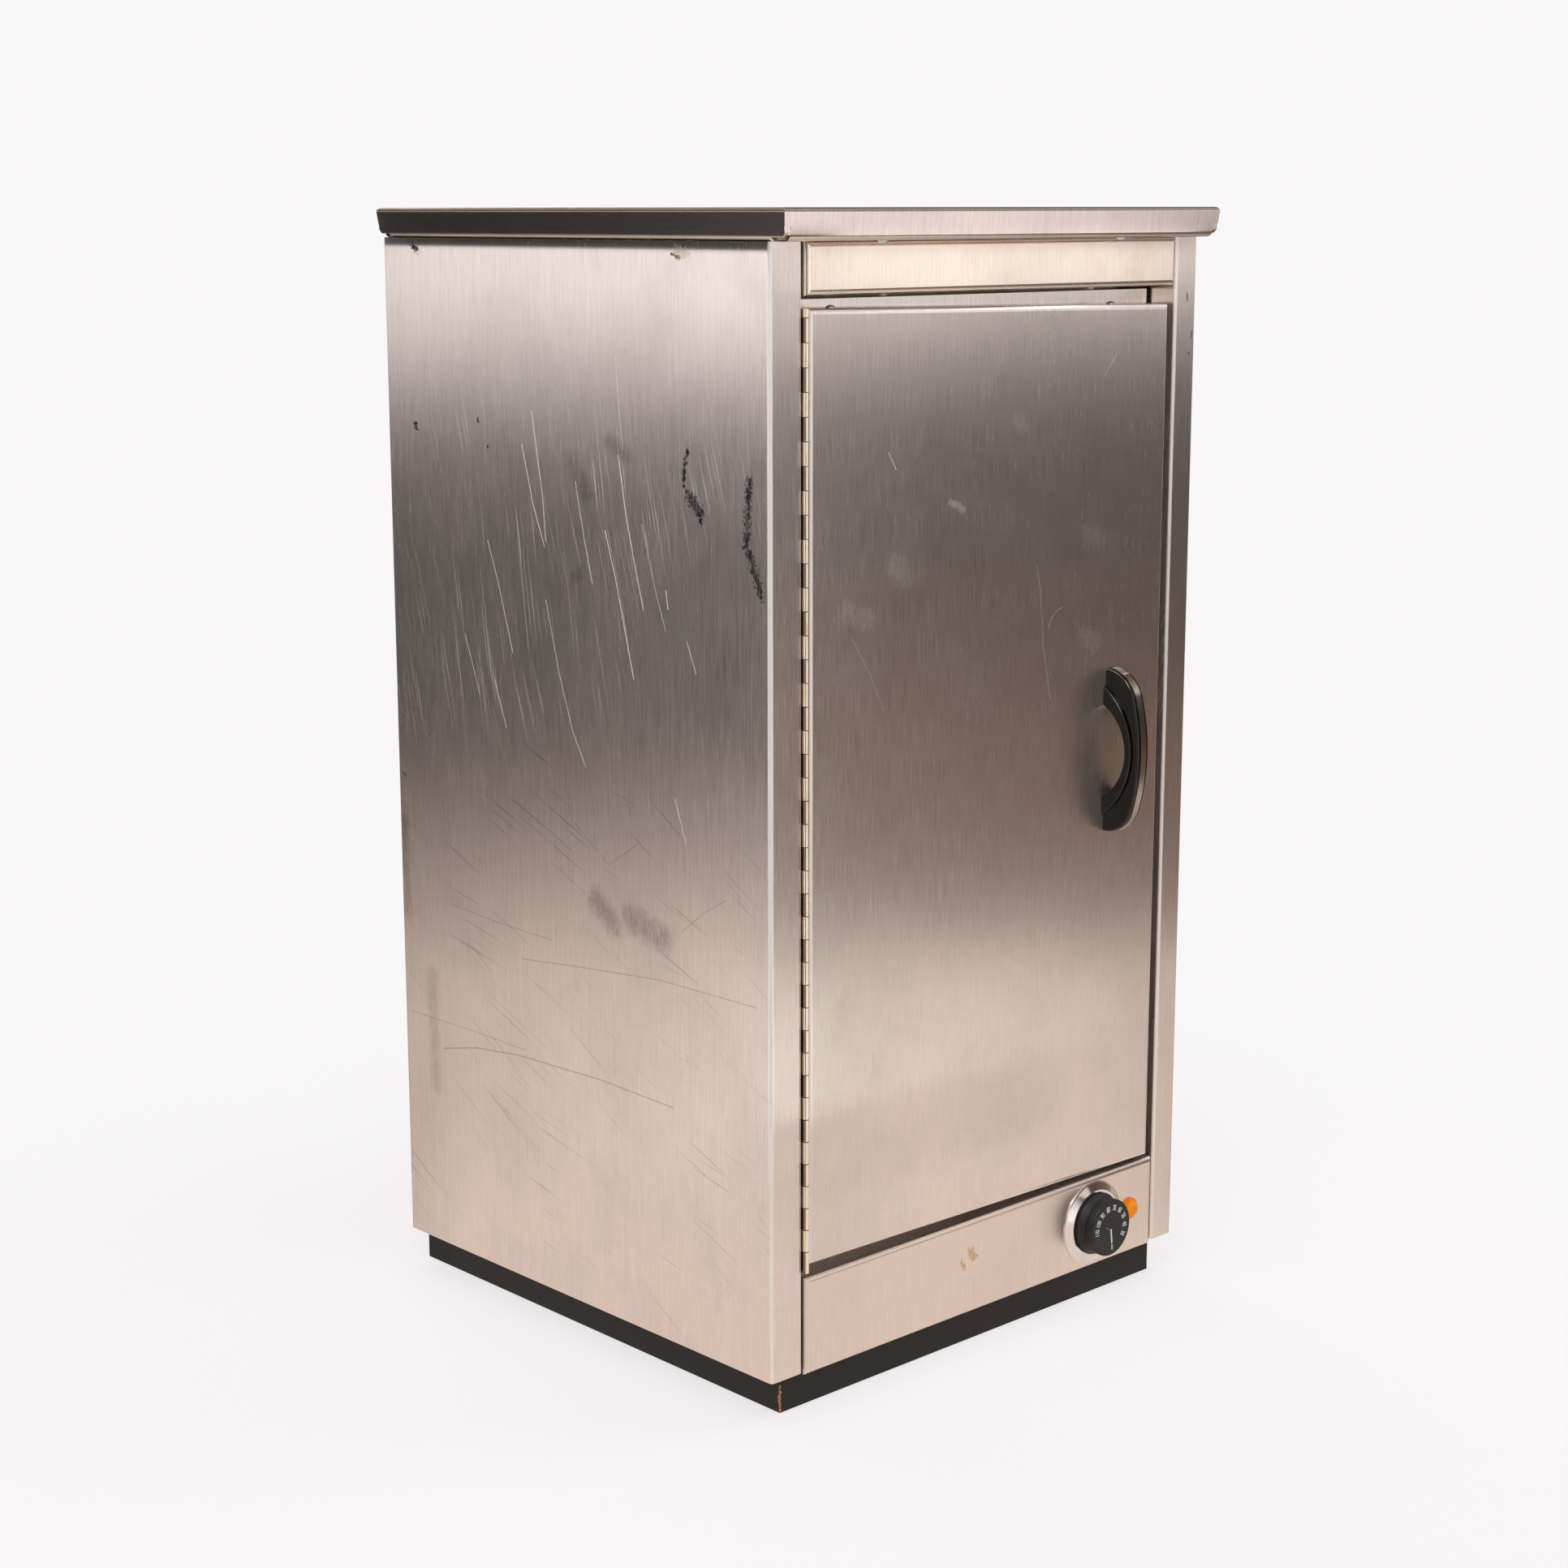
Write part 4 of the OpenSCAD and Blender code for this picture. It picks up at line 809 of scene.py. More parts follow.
def marks_on(
    at: Callable[[float, float], Point], *tables: tuple[MarkKind, float, Rows]
) -> tuple[Mark, ...]:
    """The marks of a sheet.

    Args:
        at: the point of the frame for two lengths in millimetres on the sheet.
        tables: a kind, its raggedness, and rows of width in millimetres, strength and spots.

    Returns:
        The marks, in the order of the rows.
    """
    return tuple(
        Mark(kind, tuple(at(*spot) for spot in spots), width * MM, ragged, strength)
        for kind, ragged, rows in tables
        for width, strength, spots in rows
    )


# ------------------------------------------------------------------ the cabinet


def node_object(name: str) -> bpy.types.Object:
    """The frame's object of that CAD node."""
    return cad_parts[name]


def dress(finish: Finish, names: str) -> None:
    """Puts a finish on CAD nodes.

    Args:
        finish: the finish.
        names: the nodes that take it, with a space between two.
    """
    material = finish.material()
    for name in names.split():
        slots = node_object(name).data.materials
        slots.clear()
        slots.append(material)


@dataclass
class Case:
    """Side panels, worktop, fascia, control panel, back, base and plinth."""

    side_x: float = -222.0
    front_y: float = -1.5
    plinth_front: float = 10.0

    @staticmethod
    def side_marks() -> tuple[Mark, ...]:
        """The rub marks, long scratches and smudges of the left side."""
        rubber = (
            (2.5, 1.0, ((82.3, 687), (86.3, 676), (86.5, 663))),
            (5.4, 1.0, ((82.5, 657), (76, 651), (70.3, 645))),
            (2.6, 1.0, ((70.3, 645), (69, 638))),
            (4.6, 0.95, ((20, 670), (21.5, 648), (23.2, 626), (16.4, 612), (8.6, 593))),
            (3.4, 1.0, ((397, 822), (391, 819))),
            (2.8, 1.0, ((399, 688), (397, 684))),
            (1.5, 1.0, ((309, 677), (309, 676))),
            (1.5, 1.0, ((320, 696), (320, 694))),
            (1.2, 0.9, ((98, 819), (88, 816))),
            (1.6, 0.8, ((428, 412), (425, 410))),
        )
        scratch = (
            (0.55, 1.0, ((157, 679), (149.5, 638), (140, 601), (131.5, 572))),
            (0.55, 1.0, ((173, 625), (162, 592), (154, 562), (143, 521))),
            (0.50, 0.9, ((255, 705), (244, 646), (241, 611))),
            (0.50, 0.9, ((267, 680), (255.5, 638), (242.6, 607))),
            (0.60, 0.6, ((205.5, 657), (197, 619), (188, 585))),
            (0.50, 0.7, ((242, 568), (228, 515), (213, 473), (198.5, 449))),
            (0.50, 0.7, ((311, 606), (299, 575), (283, 524))),
            (0.45, 0.7, ((342, 532), (325, 487))),
            (0.50, 0.8, ((306, 501), (293, 466))),
            (0.45, 0.6, ((132, 632), (118.6, 588), (107.6, 559))),
            (0.50, 0.8, ((85, 554), (76, 533))),
            (0.40, 0.5, ((159, 749), (155.6, 712), (151.5, 683))),
            (0.60, 0.9, ((107, 588), (105, 575))),
            (0.50, 0.7, ((99, 440), (88, 410))),
        )
        hairline = (
            (0.8, 0.8, ((383, 194), (340, 204), (285, 210), (187, 213), (104, 211))),
            (0.6, 0.7, ((280, 288), (216, 295), (119, 304), (14, 305))),
            (0.6, 0.6, ((369, 315), (304, 311), (242, 310))),
            (0.5, 0.6, ((213, 405), (174, 380), (142, 400))),
            (0.5, 0.6, ((94, 344), (69, 363), (46, 376))),
            (0.6, 0.6, ((426, 216), (343, 217), (279, 216))),
        )
        smudge = (
            (6.0, 1.0, ((188, 350), (169, 336))),
            (6.5, 1.0, ((150, 344), (115, 336))),
            (4.0, 0.55, ((397.5, 252), (396, 201), (395, 160))),
            (5.0, 0.7, ((430, 372), (429, 300))),
            (5.0, 0.7, ((208, 668), (194, 650))),
            (4.0, 0.8, ((166, 687), (149, 679))),
            (3.0, 0.6, ((207, 589), (200, 592))),
        )
        return marks_on(
            lambda y, z: place(Case.side_x, y, z),
            (MarkKind.RUBBER, 1.6, rubber),
            (MarkKind.SCRATCH, 0.35, scratch),
            (MarkKind.HAIRLINE, 0.5, hairline),
            (MarkKind.SMUDGE, 0.9, smudge),
            (MarkKind.STAIN, 1.0, ((6.0, 0.35, ((92, 820), (84, 819))),)),
        )

    def panel_marks(self) -> tuple[Mark, ...]:
        """The two dried tan drops on the control panel."""
        drops = ((4.6, 1.0, ((-18, 77), (-14.5, 71))), (3.0, 1.0, ((-28, 70), (-25, 65.5))))
        return marks_on(lambda x, z: place(x, self.front_y, z), (MarkKind.STAIN, 1.2, drops))

    @staticmethod
    def post_marks() -> tuple[Mark, ...]:
        """Small black chips on the right post."""
        chips = (
            (1.1, 0.85, ((211, 786), (211.6, 780))),
            (1.1, 0.85, ((217.5, 757), (216.8, 752))),
            (1.1, 0.85, ((214.5, 741), (214.5, 739))),
        )
        return marks_on(lambda x, z: place(x, 0.0, z), (MarkKind.RUBBER, 1.0, chips))

    def build(self) -> None:
        """Dresses the case."""
        self.dress_sheets()
        self.dress_boards()
        log.info("case dressed")

    def dress_sheets(self) -> None:
        """Gives the sheet parts their steel."""
        # The side sheets carry a painted highlight on their bent edges
        left = BrushedSteel(
            "side_steel_left", scratches=0.7, hairlines=1.3, folds=1.0, marks=self.side_marks()
        )
        right = BrushedSteel(
            "side_steel_right", scratches=0.6, scratch_lean=-14.0, hairlines=0.8, folds=0.8,
            marks=self.post_marks(),
        )
        top = BrushedSteel(
            "worktop_steel", tint=(0.88, 0.79, 0.74), grain=Grain.DEEP, roughness=0.22,
            anisotropy=0.3, clouding=0.14,
        )
        panel = BrushedSteel(
            "panel_steel", tint=(0.78, 0.69, 0.625), roughness=0.32, anisotropy=0.4,
            clouding=0.06, marks=self.panel_marks(),
        )
        dress(left, "left_side_panel")
        dress(right, "right_side_panel")
        dress(top, "worktop")
        # The fascia's steel has a brighter, warmer tint than the other sheets: painted light, a lit
        # copy of the same steel
        dress(BrushedSteel("fascia_steel_painted_bright", tint=(0.97, 0.86, 0.76), warm_patches=0.30), "top_fascia")
        dress(panel, "control_panel")
        # The rail's steel has a brighter tint than the other sheets: painted light, a lit copy of the
        # same steel
        dress(BrushedSteel("rail_steel_painted_bright", tint=(1.0, 0.92, 0.85), clouding=0.08), "ceiling_pan")
        dress(SatinMetal("galvanised", spangle=120.0), "back_panel base_pan heat_shield")
        screws = "fascia_hangers fascia_screws worktop_screws back_panel_screws"
        dress(SatinMetal("zinc_plate"), screws)

    def dress_boards(self) -> None:
        """Gives the plinth and the worktop's core their board."""
        _, front, _ = place(0, self.plinth_front, 0)
        boards = "plinth_front_board plinth_back_board plinth_left_board plinth_right_board"
        dress(Laminate("plinth_laminate", corner_front=front), boards)
        dress(Board("chipboard"), "worktop_core")


@dataclass
class Chamber:
    """Liners, floor, insulation, runners, wire shelves, sensor and catch."""

    def build(self) -> None:
        """Dresses the chamber."""
        dress(
            SatinMetal("liner_sheet", tint=(0.70, 0.69, 0.67), roughness=0.3, mottling=0.05),
            "left_liner right_liner back_liner floor_pan left_shelf_runners right_shelf_runners "
            "sensor_clips",
        )
        dress(Wool("mineral_wool"), "left_insulation right_insulation back_insulation top_insulation")
        dress(
            SatinMetal("shelf_chrome", tint=(0.82, 0.82, 0.81), roughness=0.14, mottling=0.02),
            "lower_shelf middle_shelf upper_shelf",
        )
        dress(SatinMetal("bulb_copper", tint=(0.72, 0.40, 0.26), roughness=0.38), "thermostat_sensor")
        dress(Moulded("catch_plastic", tint=(0.80, 0.77, 0.70)), "catch_holder")
        dress(Moulded("ferrite", tint=(0.06, 0.06, 0.065), roughness=0.55), "catch_magnet")
        log.info("chamber dressed")


@dataclass
class Door:
    """Door sheets, insulation, seal, handle and its strip."""

    front_y: float = -1.5

    def marks(self) -> tuple[Mark, ...]:
        """Thin scratches, pale knocks and wipe marks on the door."""
        scratches = (
            (0.6, 0.5, ((-111.5, 684), (-104, 672))),
            (0.5, 0.28, ((43.4, 592), (48, 574), (52, 530), (61, 491))),
            (0.6, 0.35, ((128, 743), (115, 727))),
            (0.6, 0.3, ((73, 559), (67, 557), (60, 551), (57, 544))),
            (0.5, 0.16, ((-146.5, 558), (-128, 530), (-115, 504))),
        )
        knocks = (
            (1.5, 0.65, ((-49, 645), (-42, 643), (-36, 639))),
            (6.0, 0.22, ((102, 611), (116, 606))),
            (6.0, 0.22, ((-104, 605), (-94, 597))),
            (6.0, 0.26, ((100, 534), (110, 528))),
            (6.0, 0.22, ((-149, 578), (-132, 570))),
            (4.0, 0.2, ((21, 699), (28, 694))),
            (2.4, 0.35, ((17, 297), (37, 284))),
        )
        return marks_on(
            lambda x, z: place(x, self.front_y, z),
            (MarkKind.SCRATCH, 0.5, scratches),
            (MarkKind.KNOCK, 0.8, knocks),
        )

    def build(self) -> None:
        """Dresses the door."""
        # The door skin carries a painted highlight on its bent edges
        skin = BrushedSteel(
            "door_steel", scratches=0.08, hairlines=0.10, face=Face.FRONT, folds=0.7,
            marks=self.marks(),
        )
        dress(skin, "door_skin")
        dress(
            SatinMetal("door_liner_sheet", tint=(0.70, 0.69, 0.67), roughness=0.3, mottling=0.05),
            "door_liner",
        )
        dress(Wool("door_wool"), "door_insulation")
        dress(Moulded("seal_rubber", tint=(0.05, 0.048, 0.046), roughness=0.7), "door_seal")
        dress(SatinMetal("door_zinc"), "door_screws handle_screws strike_plate")
        dress(
            Moulded("handle_gloss", tint=(0.004, 0.0035, 0.0035), roughness=0.10, dust_share=0.008,
                    texture_depth=0.004, gloss=0.4),
            "handle",
        )
        dress(
            SatinMetal("handle_strip_metal", tint=(0.50, 0.42, 0.36), roughness=0.16, mottling=0.03),
            "handle_strip",
        )
        log.info("door dressed")


@dataclass
class PianoHinge:
    """The hinge's two leaves, pin and screws."""

    pitch: float = 16.4 * MM
    foot: float = 105.6 * MM
    axis_x: float = -189.7
    axis_y: float = -1.0

    def build(self) -> None:
        """Dresses the hinge."""
        brass = HingeBrass(
            "hinge_brass", pitch=self.pitch, first=self.foot,
            axis=place(self.axis_x, self.axis_y, 0.0),
        )
        dress(brass, "hinge_frame_leaf hinge_door_leaf hinge_pin")
        dress(
            SatinMetal("screw_brass", tint=(0.80, 0.68, 0.44), roughness=0.3, mottling=0.05),
            "frame_leaf_screws door_leaf_screws",
        )
        log.info("hinge dressed")


@dataclass
class Controls:
    """Knob with its printed dial, bezel, pilot lamp and what is behind them."""

    knob_x: float = 121.9
    knob_z: float = 64.8
    face_y: float = -21.0
    lamp_offset: float = 44.6
    digit_radius: float = 16.0
    digit_h: float = 4.7
    digit_squeeze: float = 0.60
    first_angle: float = -28.0
    angle_step: float = 26.25
    zero_angle: float = -84.0
    print_t: float = 0.06
    numbers: range = range(30, 120, 10)
    em_of_digit: float = 1.4
    pointer_from: float = 1.4
    pointer_to: float = 12.6
    pointer_w: float = 1.25
    centre_mark: tuple[Pair, Pair] = ((-5.0, 1.3), (-2.0, -1.2))
    centre_mark_w: float = 0.7
    round_steps: int = 8
    mark_angle: float = 187.0
    mark_tip: float = 26.9
    mark_foot: float = 31.0
    mark_half: float = 4.0
    mark_y: float = -5.15
    mark_slope: float = 0.46
    mark_t: float = 0.05

    def build(self) -> None:
        """Dresses the controls and prints the dial."""
        dress(
            Moulded("knob_plastic", tint=(0.011, 0.011, 0.012), roughness=0.42, dust_share=0.015,
                    gloss=0.3),
            "thermostat_knob",
        )
        dress(
            SatinMetal("bezel_chrome", tint=(0.80, 0.77, 0.74), roughness=0.13, mottling=0.02),
            "thermostat_bezel",
        )
        dress(
            AmberLens("amber_lens", middle=place(self.knob_x + self.lamp_offset, -1.5, self.knob_z)),
            "pilot_lens",
        )
        dress(Moulded("lamp_body", tint=(0.03, 0.03, 0.03)), "pilot_holder")
        dress(SatinMetal("control_zinc"), "thermostat_spindle thermostat_screws element_brackets")
        dress(Moulded("ceramic", tint=(0.78, 0.75, 0.68)), "thermostat_body terminal_block")
        dress(
            SatinMetal("element_sheath", tint=(0.20, 0.18, 0.17), roughness=0.5, mottling=0.3),
            "heating_element",
        )
        dress(Moulded("bushing_rubber", tint=(0.03, 0.03, 0.03), roughness=0.7), "cable_gland")
        self.print_dial()
        log.info("controls dressed")

    def dial_point(self, radius: float, angle: float) -> Vector:
        """A point on the knob's face, from its middle outwards, in the frame."""
        turn = math.radians(angle)
        x, z = self.knob_x + radius * math.cos(turn), self.knob_z + radius * math.sin(turn)
        return Vector(place(x, self.face_y, z))

    def print_dial(self) -> None:
        """Makes the white numbers and the pointer line on the knob's face."""
        ink = Moulded("dial_ink", tint=(0.78, 0.76, 0.72), roughness=0.5, dust_share=0.15)
        numbers = [
            (str(value), self.first_angle + self.angle_step * i)
            for i, value in enumerate(self.numbers)
        ]
        numbers.append(("0", self.zero_angle))
        for text, angle in numbers:
            piece = self.number(text, angle)
            finish_piece(piece, ink, "thermostat_knob")
        turn = math.radians(self.zero_angle)
        start, end = (
            (radius * math.cos(turn), radius * math.sin(turn))
            for radius in (self.pointer_from, self.pointer_to)
        )
        pointer = self.stroke("dial_pointer", start, end, self.pointer_w)
        finish_piece(pointer, ink, "thermostat_knob")
        olive = Moulded("dial_centre_ink", tint=(0.16, 0.14, 0.085), roughness=0.5, dust_share=0.1)
        centre = self.stroke("dial_centre_mark", *self.centre_mark, self.centre_mark_w)
        finish_piece(centre, olive, "thermostat_knob")
        mark = self.triangle()
        grey = Moulded("bezel_mark", tint=(0.40, 0.37, 0.35), roughness=0.5)
        finish_piece(mark, grey, "cabinet")

    def stroke(self, name: str, start: Pair, end: Pair, width: float) -> bpy.types.Object:
        """A thin printed bar with round ends on the knob's face.

        Args:
            name: the piece's name.
            start: its one end, in millimetres right of and above the middle.
            end: its other end.
            width: its width.

        Returns:
            The mesh object.
        """
        run = Vector((end[0] - start[0], 0.0, end[1] - start[1])).normalized()
        across = run.cross(Vector((0.0, 1.0, 0.0)))
        rim = []
        for (x, z), first in ((end, -90.0), (start, 90.0)):
            centre = Vector(place(self.knob_x + x, self.face_y, self.knob_z + z))
            for i in range(self.round_steps + 1):
                turn = math.radians(first + 180.0 * i / self.round_steps)
                step = run * math.cos(turn) + across * math.sin(turn)
                rim.append(centre + step * (width / 2 * MM))
        return prism(name, rim, Vector((0.0, -self.print_t * MM, 0.0)))

    def triangle(self) -> bpy.types.Object:
        """The index mark on the bezel, at about nine o'clock, pointing at the dial."""
        middle = place(self.knob_x, self.mark_y, self.knob_z)
        points = []
        for radius, offset in (
            (self.mark_tip, 0.0), (self.mark_foot, self.mark_half), (self.mark_foot, -self.mark_half)
        ):
            turn = math.radians(self.mark_angle + offset)
            slope = (radius - self.mark_tip) * self.mark_slope
            step = Vector((radius * math.cos(turn), slope, radius * math.sin(turn))) * MM
            points.append(Vector(middle) + step)
        return prism("bezel_index", points, Vector((0.0, -self.mark_t * MM, 0.0)))

    def number(self, text: str, angle: float) -> bpy.types.Object:
        """One printed number of the dial.

        Args:
            text: its digits.
            angle: its place, counter-clockwise from the right.

        Returns:
            The mesh object, at its place on the knob's face.
        """
        curve = bpy.data.curves.new(f"dial_{text}", "FONT")
        curve.body = text
        curve.size = self.digit_h * self.em_of_digit * MM
        curve.align_x = "CENTER"
        curve.align_y = "CENTER"
        curve.extrude = self.print_t * MM
        maker = bpy.data.objects.new(f"dial_{text}_text", curve)
        bpy.context.scene.collection.objects.link(maker)
        graph = bpy.context.evaluated_depsgraph_get()
        mesh = bpy.data.meshes.new_from_object(maker.evaluated_get(graph))
        bpy.data.objects.remove(maker)
        upright = Matrix.Rotation(math.radians(90), 4, "X")
        turned = Matrix.Rotation(math.radians(90 - angle), 4, "Y")
        centre = Matrix.Translation(self.dial_point(self.digit_radius, angle))
        squeezed = Matrix.Diagonal((self.digit_squeeze, 1.0, 1.0, 1.0))
        mesh.transform(centre @ turned @ upright @ squeezed)
        piece = bpy.data.objects.new(f"dial_number_{text}", mesh)
        bpy.context.scene.collection.objects.link(piece)
        return piece


def prism(name: str, rim: list[Vector], out: Vector) -> bpy.types.Object:
    """A thin solid between a flat outline and the same outline moved by `out`."""
    bm = bmesh.new()
    low = [bm.verts.new(point) for point in rim]
    high = [bm.verts.new(point + out) for point in rim]
    bm.faces.new(low)
    bm.faces.new(list(reversed(high)))
    for i in range(len(rim)):
        j = (i + 1) % len(rim)
        bm.faces.new((low[i], low[j], high[j], high[i]))
    bmesh.ops.recalc_face_normals(bm, faces=bm.faces)
    return mesh_object(name, bm)


def finish_piece(piece: bpy.types.Object, finish: Finish, body: str) -> None:
    """Gives a new piece its finish, body and material slot."""
    piece.data.materials.clear()
    piece.data.materials.append(finish.material())
    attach(piece, body)


# ------------------------------------------------------------------ studio and camera


@dataclass
class PhotoCamera:
    """The photograph's camera, as solved from the cabinet's edges."""

    location: Point = (-1.4918, -1.5727, 0.8495)
    yaw: float = 0.752
    pitch: float = 0.2024
    roll: float = -0.0013
    focal_px: float = 3458.5
    picture_px: float = 1932.0
    sensor_mm: float = 36.0
    clip_end: float = 60.0

    def build(self) -> None:
        """Makes the camera and sets it as the scene's."""
        lens = bpy.data.cameras.new("photo_camera")
        lens.sensor_width = self.sensor_mm
        lens.lens = self.focal_px / self.picture_px * self.sensor_mm
        lens.clip_end = self.clip_end
        camera = bpy.data.objects.new("photo_camera", lens)
        bpy.context.scene.collection.objects.link(camera)
        level = math.cos(self.pitch)
        forward = Vector(
            (math.sin(self.yaw) * level, math.cos(self.yaw) * level, -math.sin(self.pitch))
        )
        right = Vector((math.cos(self.yaw), -math.sin(self.yaw), 0.0))
        up = right.cross(forward)
        turn = Matrix((right, up, -forward)).transposed() @ Matrix.Rotation(self.roll, 3, "Z")
        camera.matrix_world = Matrix.Translation(self.location) @ turn.to_4x4()
        bpy.context.scene.camera = camera
        log.info("camera placed")


@dataclass(frozen=True)
class Sector:
    """How a card changes with the direction, as the cosine of its angle to the window.

    The card's colours are multiplied by a gain that changes over `turn`, and go over to the
    window's white over `window`.
    """

    turn: Pair
    gain: Pair
    window: Pair


def shares(whole: float, stops: Stops) -> Stops:
    """The stops of a card with their places as shares of a whole length."""
    return tuple((at / whole, colour) for at, colour in stops)


@dataclass
class Studio:
    """Pale floor and world, soft lamps, and cards that only gloss sees.

    The stops give a card's colours along a length in metres: from the middle on the floor, and
    from the floor up on the walls. The flags' colours go along the flag, from `flag_zero` on.
    """

    white: Triple = (0.947, 0.930, 0.939)
    ambient: Triple = (0.98, 0.98, 1.0)
    ambient_strength: float = 0.62
    floor_tint: Triple = (0.88, 0.865, 0.87)
    floor_r: float = 14.0
    floor_z: float = -0.0008
    shadow_span: Pair = (0.35, 0.95)
    shadow_share: float = 0.26
    card_z: float = -0.0004
    dark: Triple = (0.075, 0.068, 0.068)
    window: Triple = (1.20, 1.16, 1.14)
    window_way: Triple = (-0.683, -0.730, 0.0)
    window_start: Pair = (0.45, 1.0)
    slot_way: Triple = (-0.743, -0.669, 0.0)
    slot_edge: Pair = (0.945, 0.98)
    slot_shade: float = 0.06
    softbox: Triple = (11.0, 10.6, 10.2)
    softbox_z: Pair = (1.10, 1.25)
    floor_reach: float = 4.0
    around_r: float = 3.1
    front_middle: Pair = (0.0, -0.2)
    front_r: float = 1.0
    front_span: Pair = (185.0, 355.0)
    wall_h: float = 2.2
    brown: Triple = (0.15, 0.115, 0.10)
    black: Triple = (0.02, 0.016, 0.015)
    left_drift: float = -0.007
    drift: float = 0.05
    drift_span: Pair = (0.60, 0.75)
    drift_z: Pair = (0.35, 0.60)
    flag_x: float = -0.245
    flag_front: float = -0.280
    flag_y: Pair = (-0.235, 0.28)
    flag_z: Pair = (0.8215, 0.849)
    flag_zero: float = -0.3
    floor_sector: Sector = Sector((-0.25, 0.05), (0.60, 1.10), (0.22, 0.62))
    around_sector: Sector = Sector((-0.25, 0.05), (0.60, 1.15), (0.22, 0.62))
    front_sector: Sector = Sector((-0.05, 0.26), (0.86, 0.90), (0.45, 0.75))
    floor_stops: Stops = (
        (0.0, (0.80, 0.69, 0.63)), (1.15, (0.78, 0.67, 0.61)), (1.50, (0.56, 0.47, 0.42)),
        (1.90, (0.34, 0.28, 0.25)), (2.30, (0.17, 0.145, 0.135)), (2.70, (0.09, 0.08, 0.08)),
        (3.10, dark),
    )
    around_stops: Stops = (
        (0.0, dark), (0.30, dark), (0.42, (0.10, 0.09, 0.09)), (0.50, (0.24, 0.22, 0.23)),
        (0.56, (0.56, 0.54, 0.56)), (0.62, (0.96, 0.93, 0.96)), (0.70, (1.25, 1.21, 1.23)),
        (0.95, (1.25, 1.21, 1.23)), (1.20, (0.45, 0.38, 0.34)), (1.50, brown),
    )
    front_stops: Stops = (
        (0.0, (0.90, 0.78, 0.71)), (0.03, (0.80, 0.69, 0.62)), (0.07, (0.48, 0.40, 0.36)),
        (0.12, (0.30, 0.235, 0.20)), (0.20, (0.215, 0.148, 0.118)), (0.28, (0.195, 0.130, 0.100)),
        (0.38, (0.125, 0.086, 0.068)), (0.50, (0.085, 0.075, 0.075)), (0.58, (0.10, 0.09, 0.093)),
        (0.63, (0.17, 0.155, 0.16)), (0.67, (0.32, 0.30, 0.31)), (0.71, (0.60, 0.57, 0.58)),
        (0.74, (0.92, 0.88, 0.88)), (0.86, (0.92, 0.88, 0.88)), (0.98, (0.45, 0.38, 0.34)),
        (1.15, brown),
    )
    side_stops: Stops = (
        (0.08, (0.062, 0.052, 0.048)), (0.22, (0.036, 0.030, 0.027)), (0.45, black),
    )
    skirt_stops: Stops = (
        (0.10, (0.95, 0.88, 0.86)), (0.42, (0.90, 0.83, 0.81)), (0.60, (0.52, 0.46, 0.44)),
    )
    fascia_stops: Stops = (
        (0.10, (1.10, 1.05, 1.02)), (0.45, (1.05, 1.0, 0.97)), (0.60, (0.85, 0.79, 0.76)),
    )
    panel_stops: Stops = ((0.0, (0.86, 0.74, 0.68)), (1.0, (0.78, 0.67, 0.61)))
    front_flags: tuple[tuple[str, Pair, Pair, Stops], ...] = (
        ("card_flag_skirt", (-0.20, 0.31), (0.8185, 0.847), skirt_stops),
        ("card_flag_fascia", (-0.115, 0.285), (0.789, 0.8185), fascia_stops),
        ("card_flag_panel", (-0.20, 0.165), (0.118, 0.190), panel_stops),
    )
    lamps: tuple[tuple[str, Point, float], ...] = (
        ("lamp_left", (-1.8, -1.4, 2.6), 34.0),
        ("lamp_right", (1.9, -1.2, 2.4), 26.0),
        ("lamp_back", (0.2, 2.2, 2.6), 22.0),
    )
    lamp_size: float = 1.6
    lamp_aim: Point = (0.0, 0.0, 0.4)

    def build(self) -> None:
        """Sets the view transform and makes world, floor, cards and lamps."""
        bpy.context.scene.view_settings.view_transform = "Standard"
        self.make_world()
        self.make_floor()
        self.make_cards()
        self.make_flags()
        self.make_lamps()
        log.info("studio built")

    def make_world(self) -> None:
        """White where it is seen, softer where it only lights."""
        world = bpy.data.worlds.new("studio_world")
        world.use_nodes = True
        bpy.context.scene.world = world
        graph = Graph(world.node_tree, "ShaderNodeOutputWorld")
        light, seen = (
            graph.shader("ShaderNodeBackground", {"Color": colour, "Strength": strength})
            for colour, strength in ((self.ambient, self.ambient_strength), (self.white, 1.0))
        )
        graph.show_seen(light, seen)

    def make_floor(self) -> None:
        """A pale floor that keeps the object's shadow near it."""
        floor = level_disc("studio_floor", self.floor_r, self.floor_z)
        graph, material = Graph.of_material("studio_floor")
        distance = (graph.position() * FLAT).length()
        plain = graph.shader("ShaderNodeEmission", {"Color": self.white, "Strength": 1.0})
        matte = graph.shader("ShaderNodeBsdfDiffuse", {"Color": self.floor_tint})
        keep = distance.ramp(*self.shadow_span, self.shadow_share, 0.0)
        glow = graph.shader("ShaderNodeMixShader", {0: keep, 1: plain, 2: matte})
        graph.show_seen(matte, glow)
        floor.data.materials.append(material)

    def front_height(self, where: Shade) -> Shade:
        """The share of the front wall's height, with its upper part drifting up to the right."""
        x, _, z = where.parts()
        drift = x.ramp(*self.drift_span, self.left_drift, self.drift)
        return (z - drift * z.ramp(*self.drift_z)) / self.wall_h

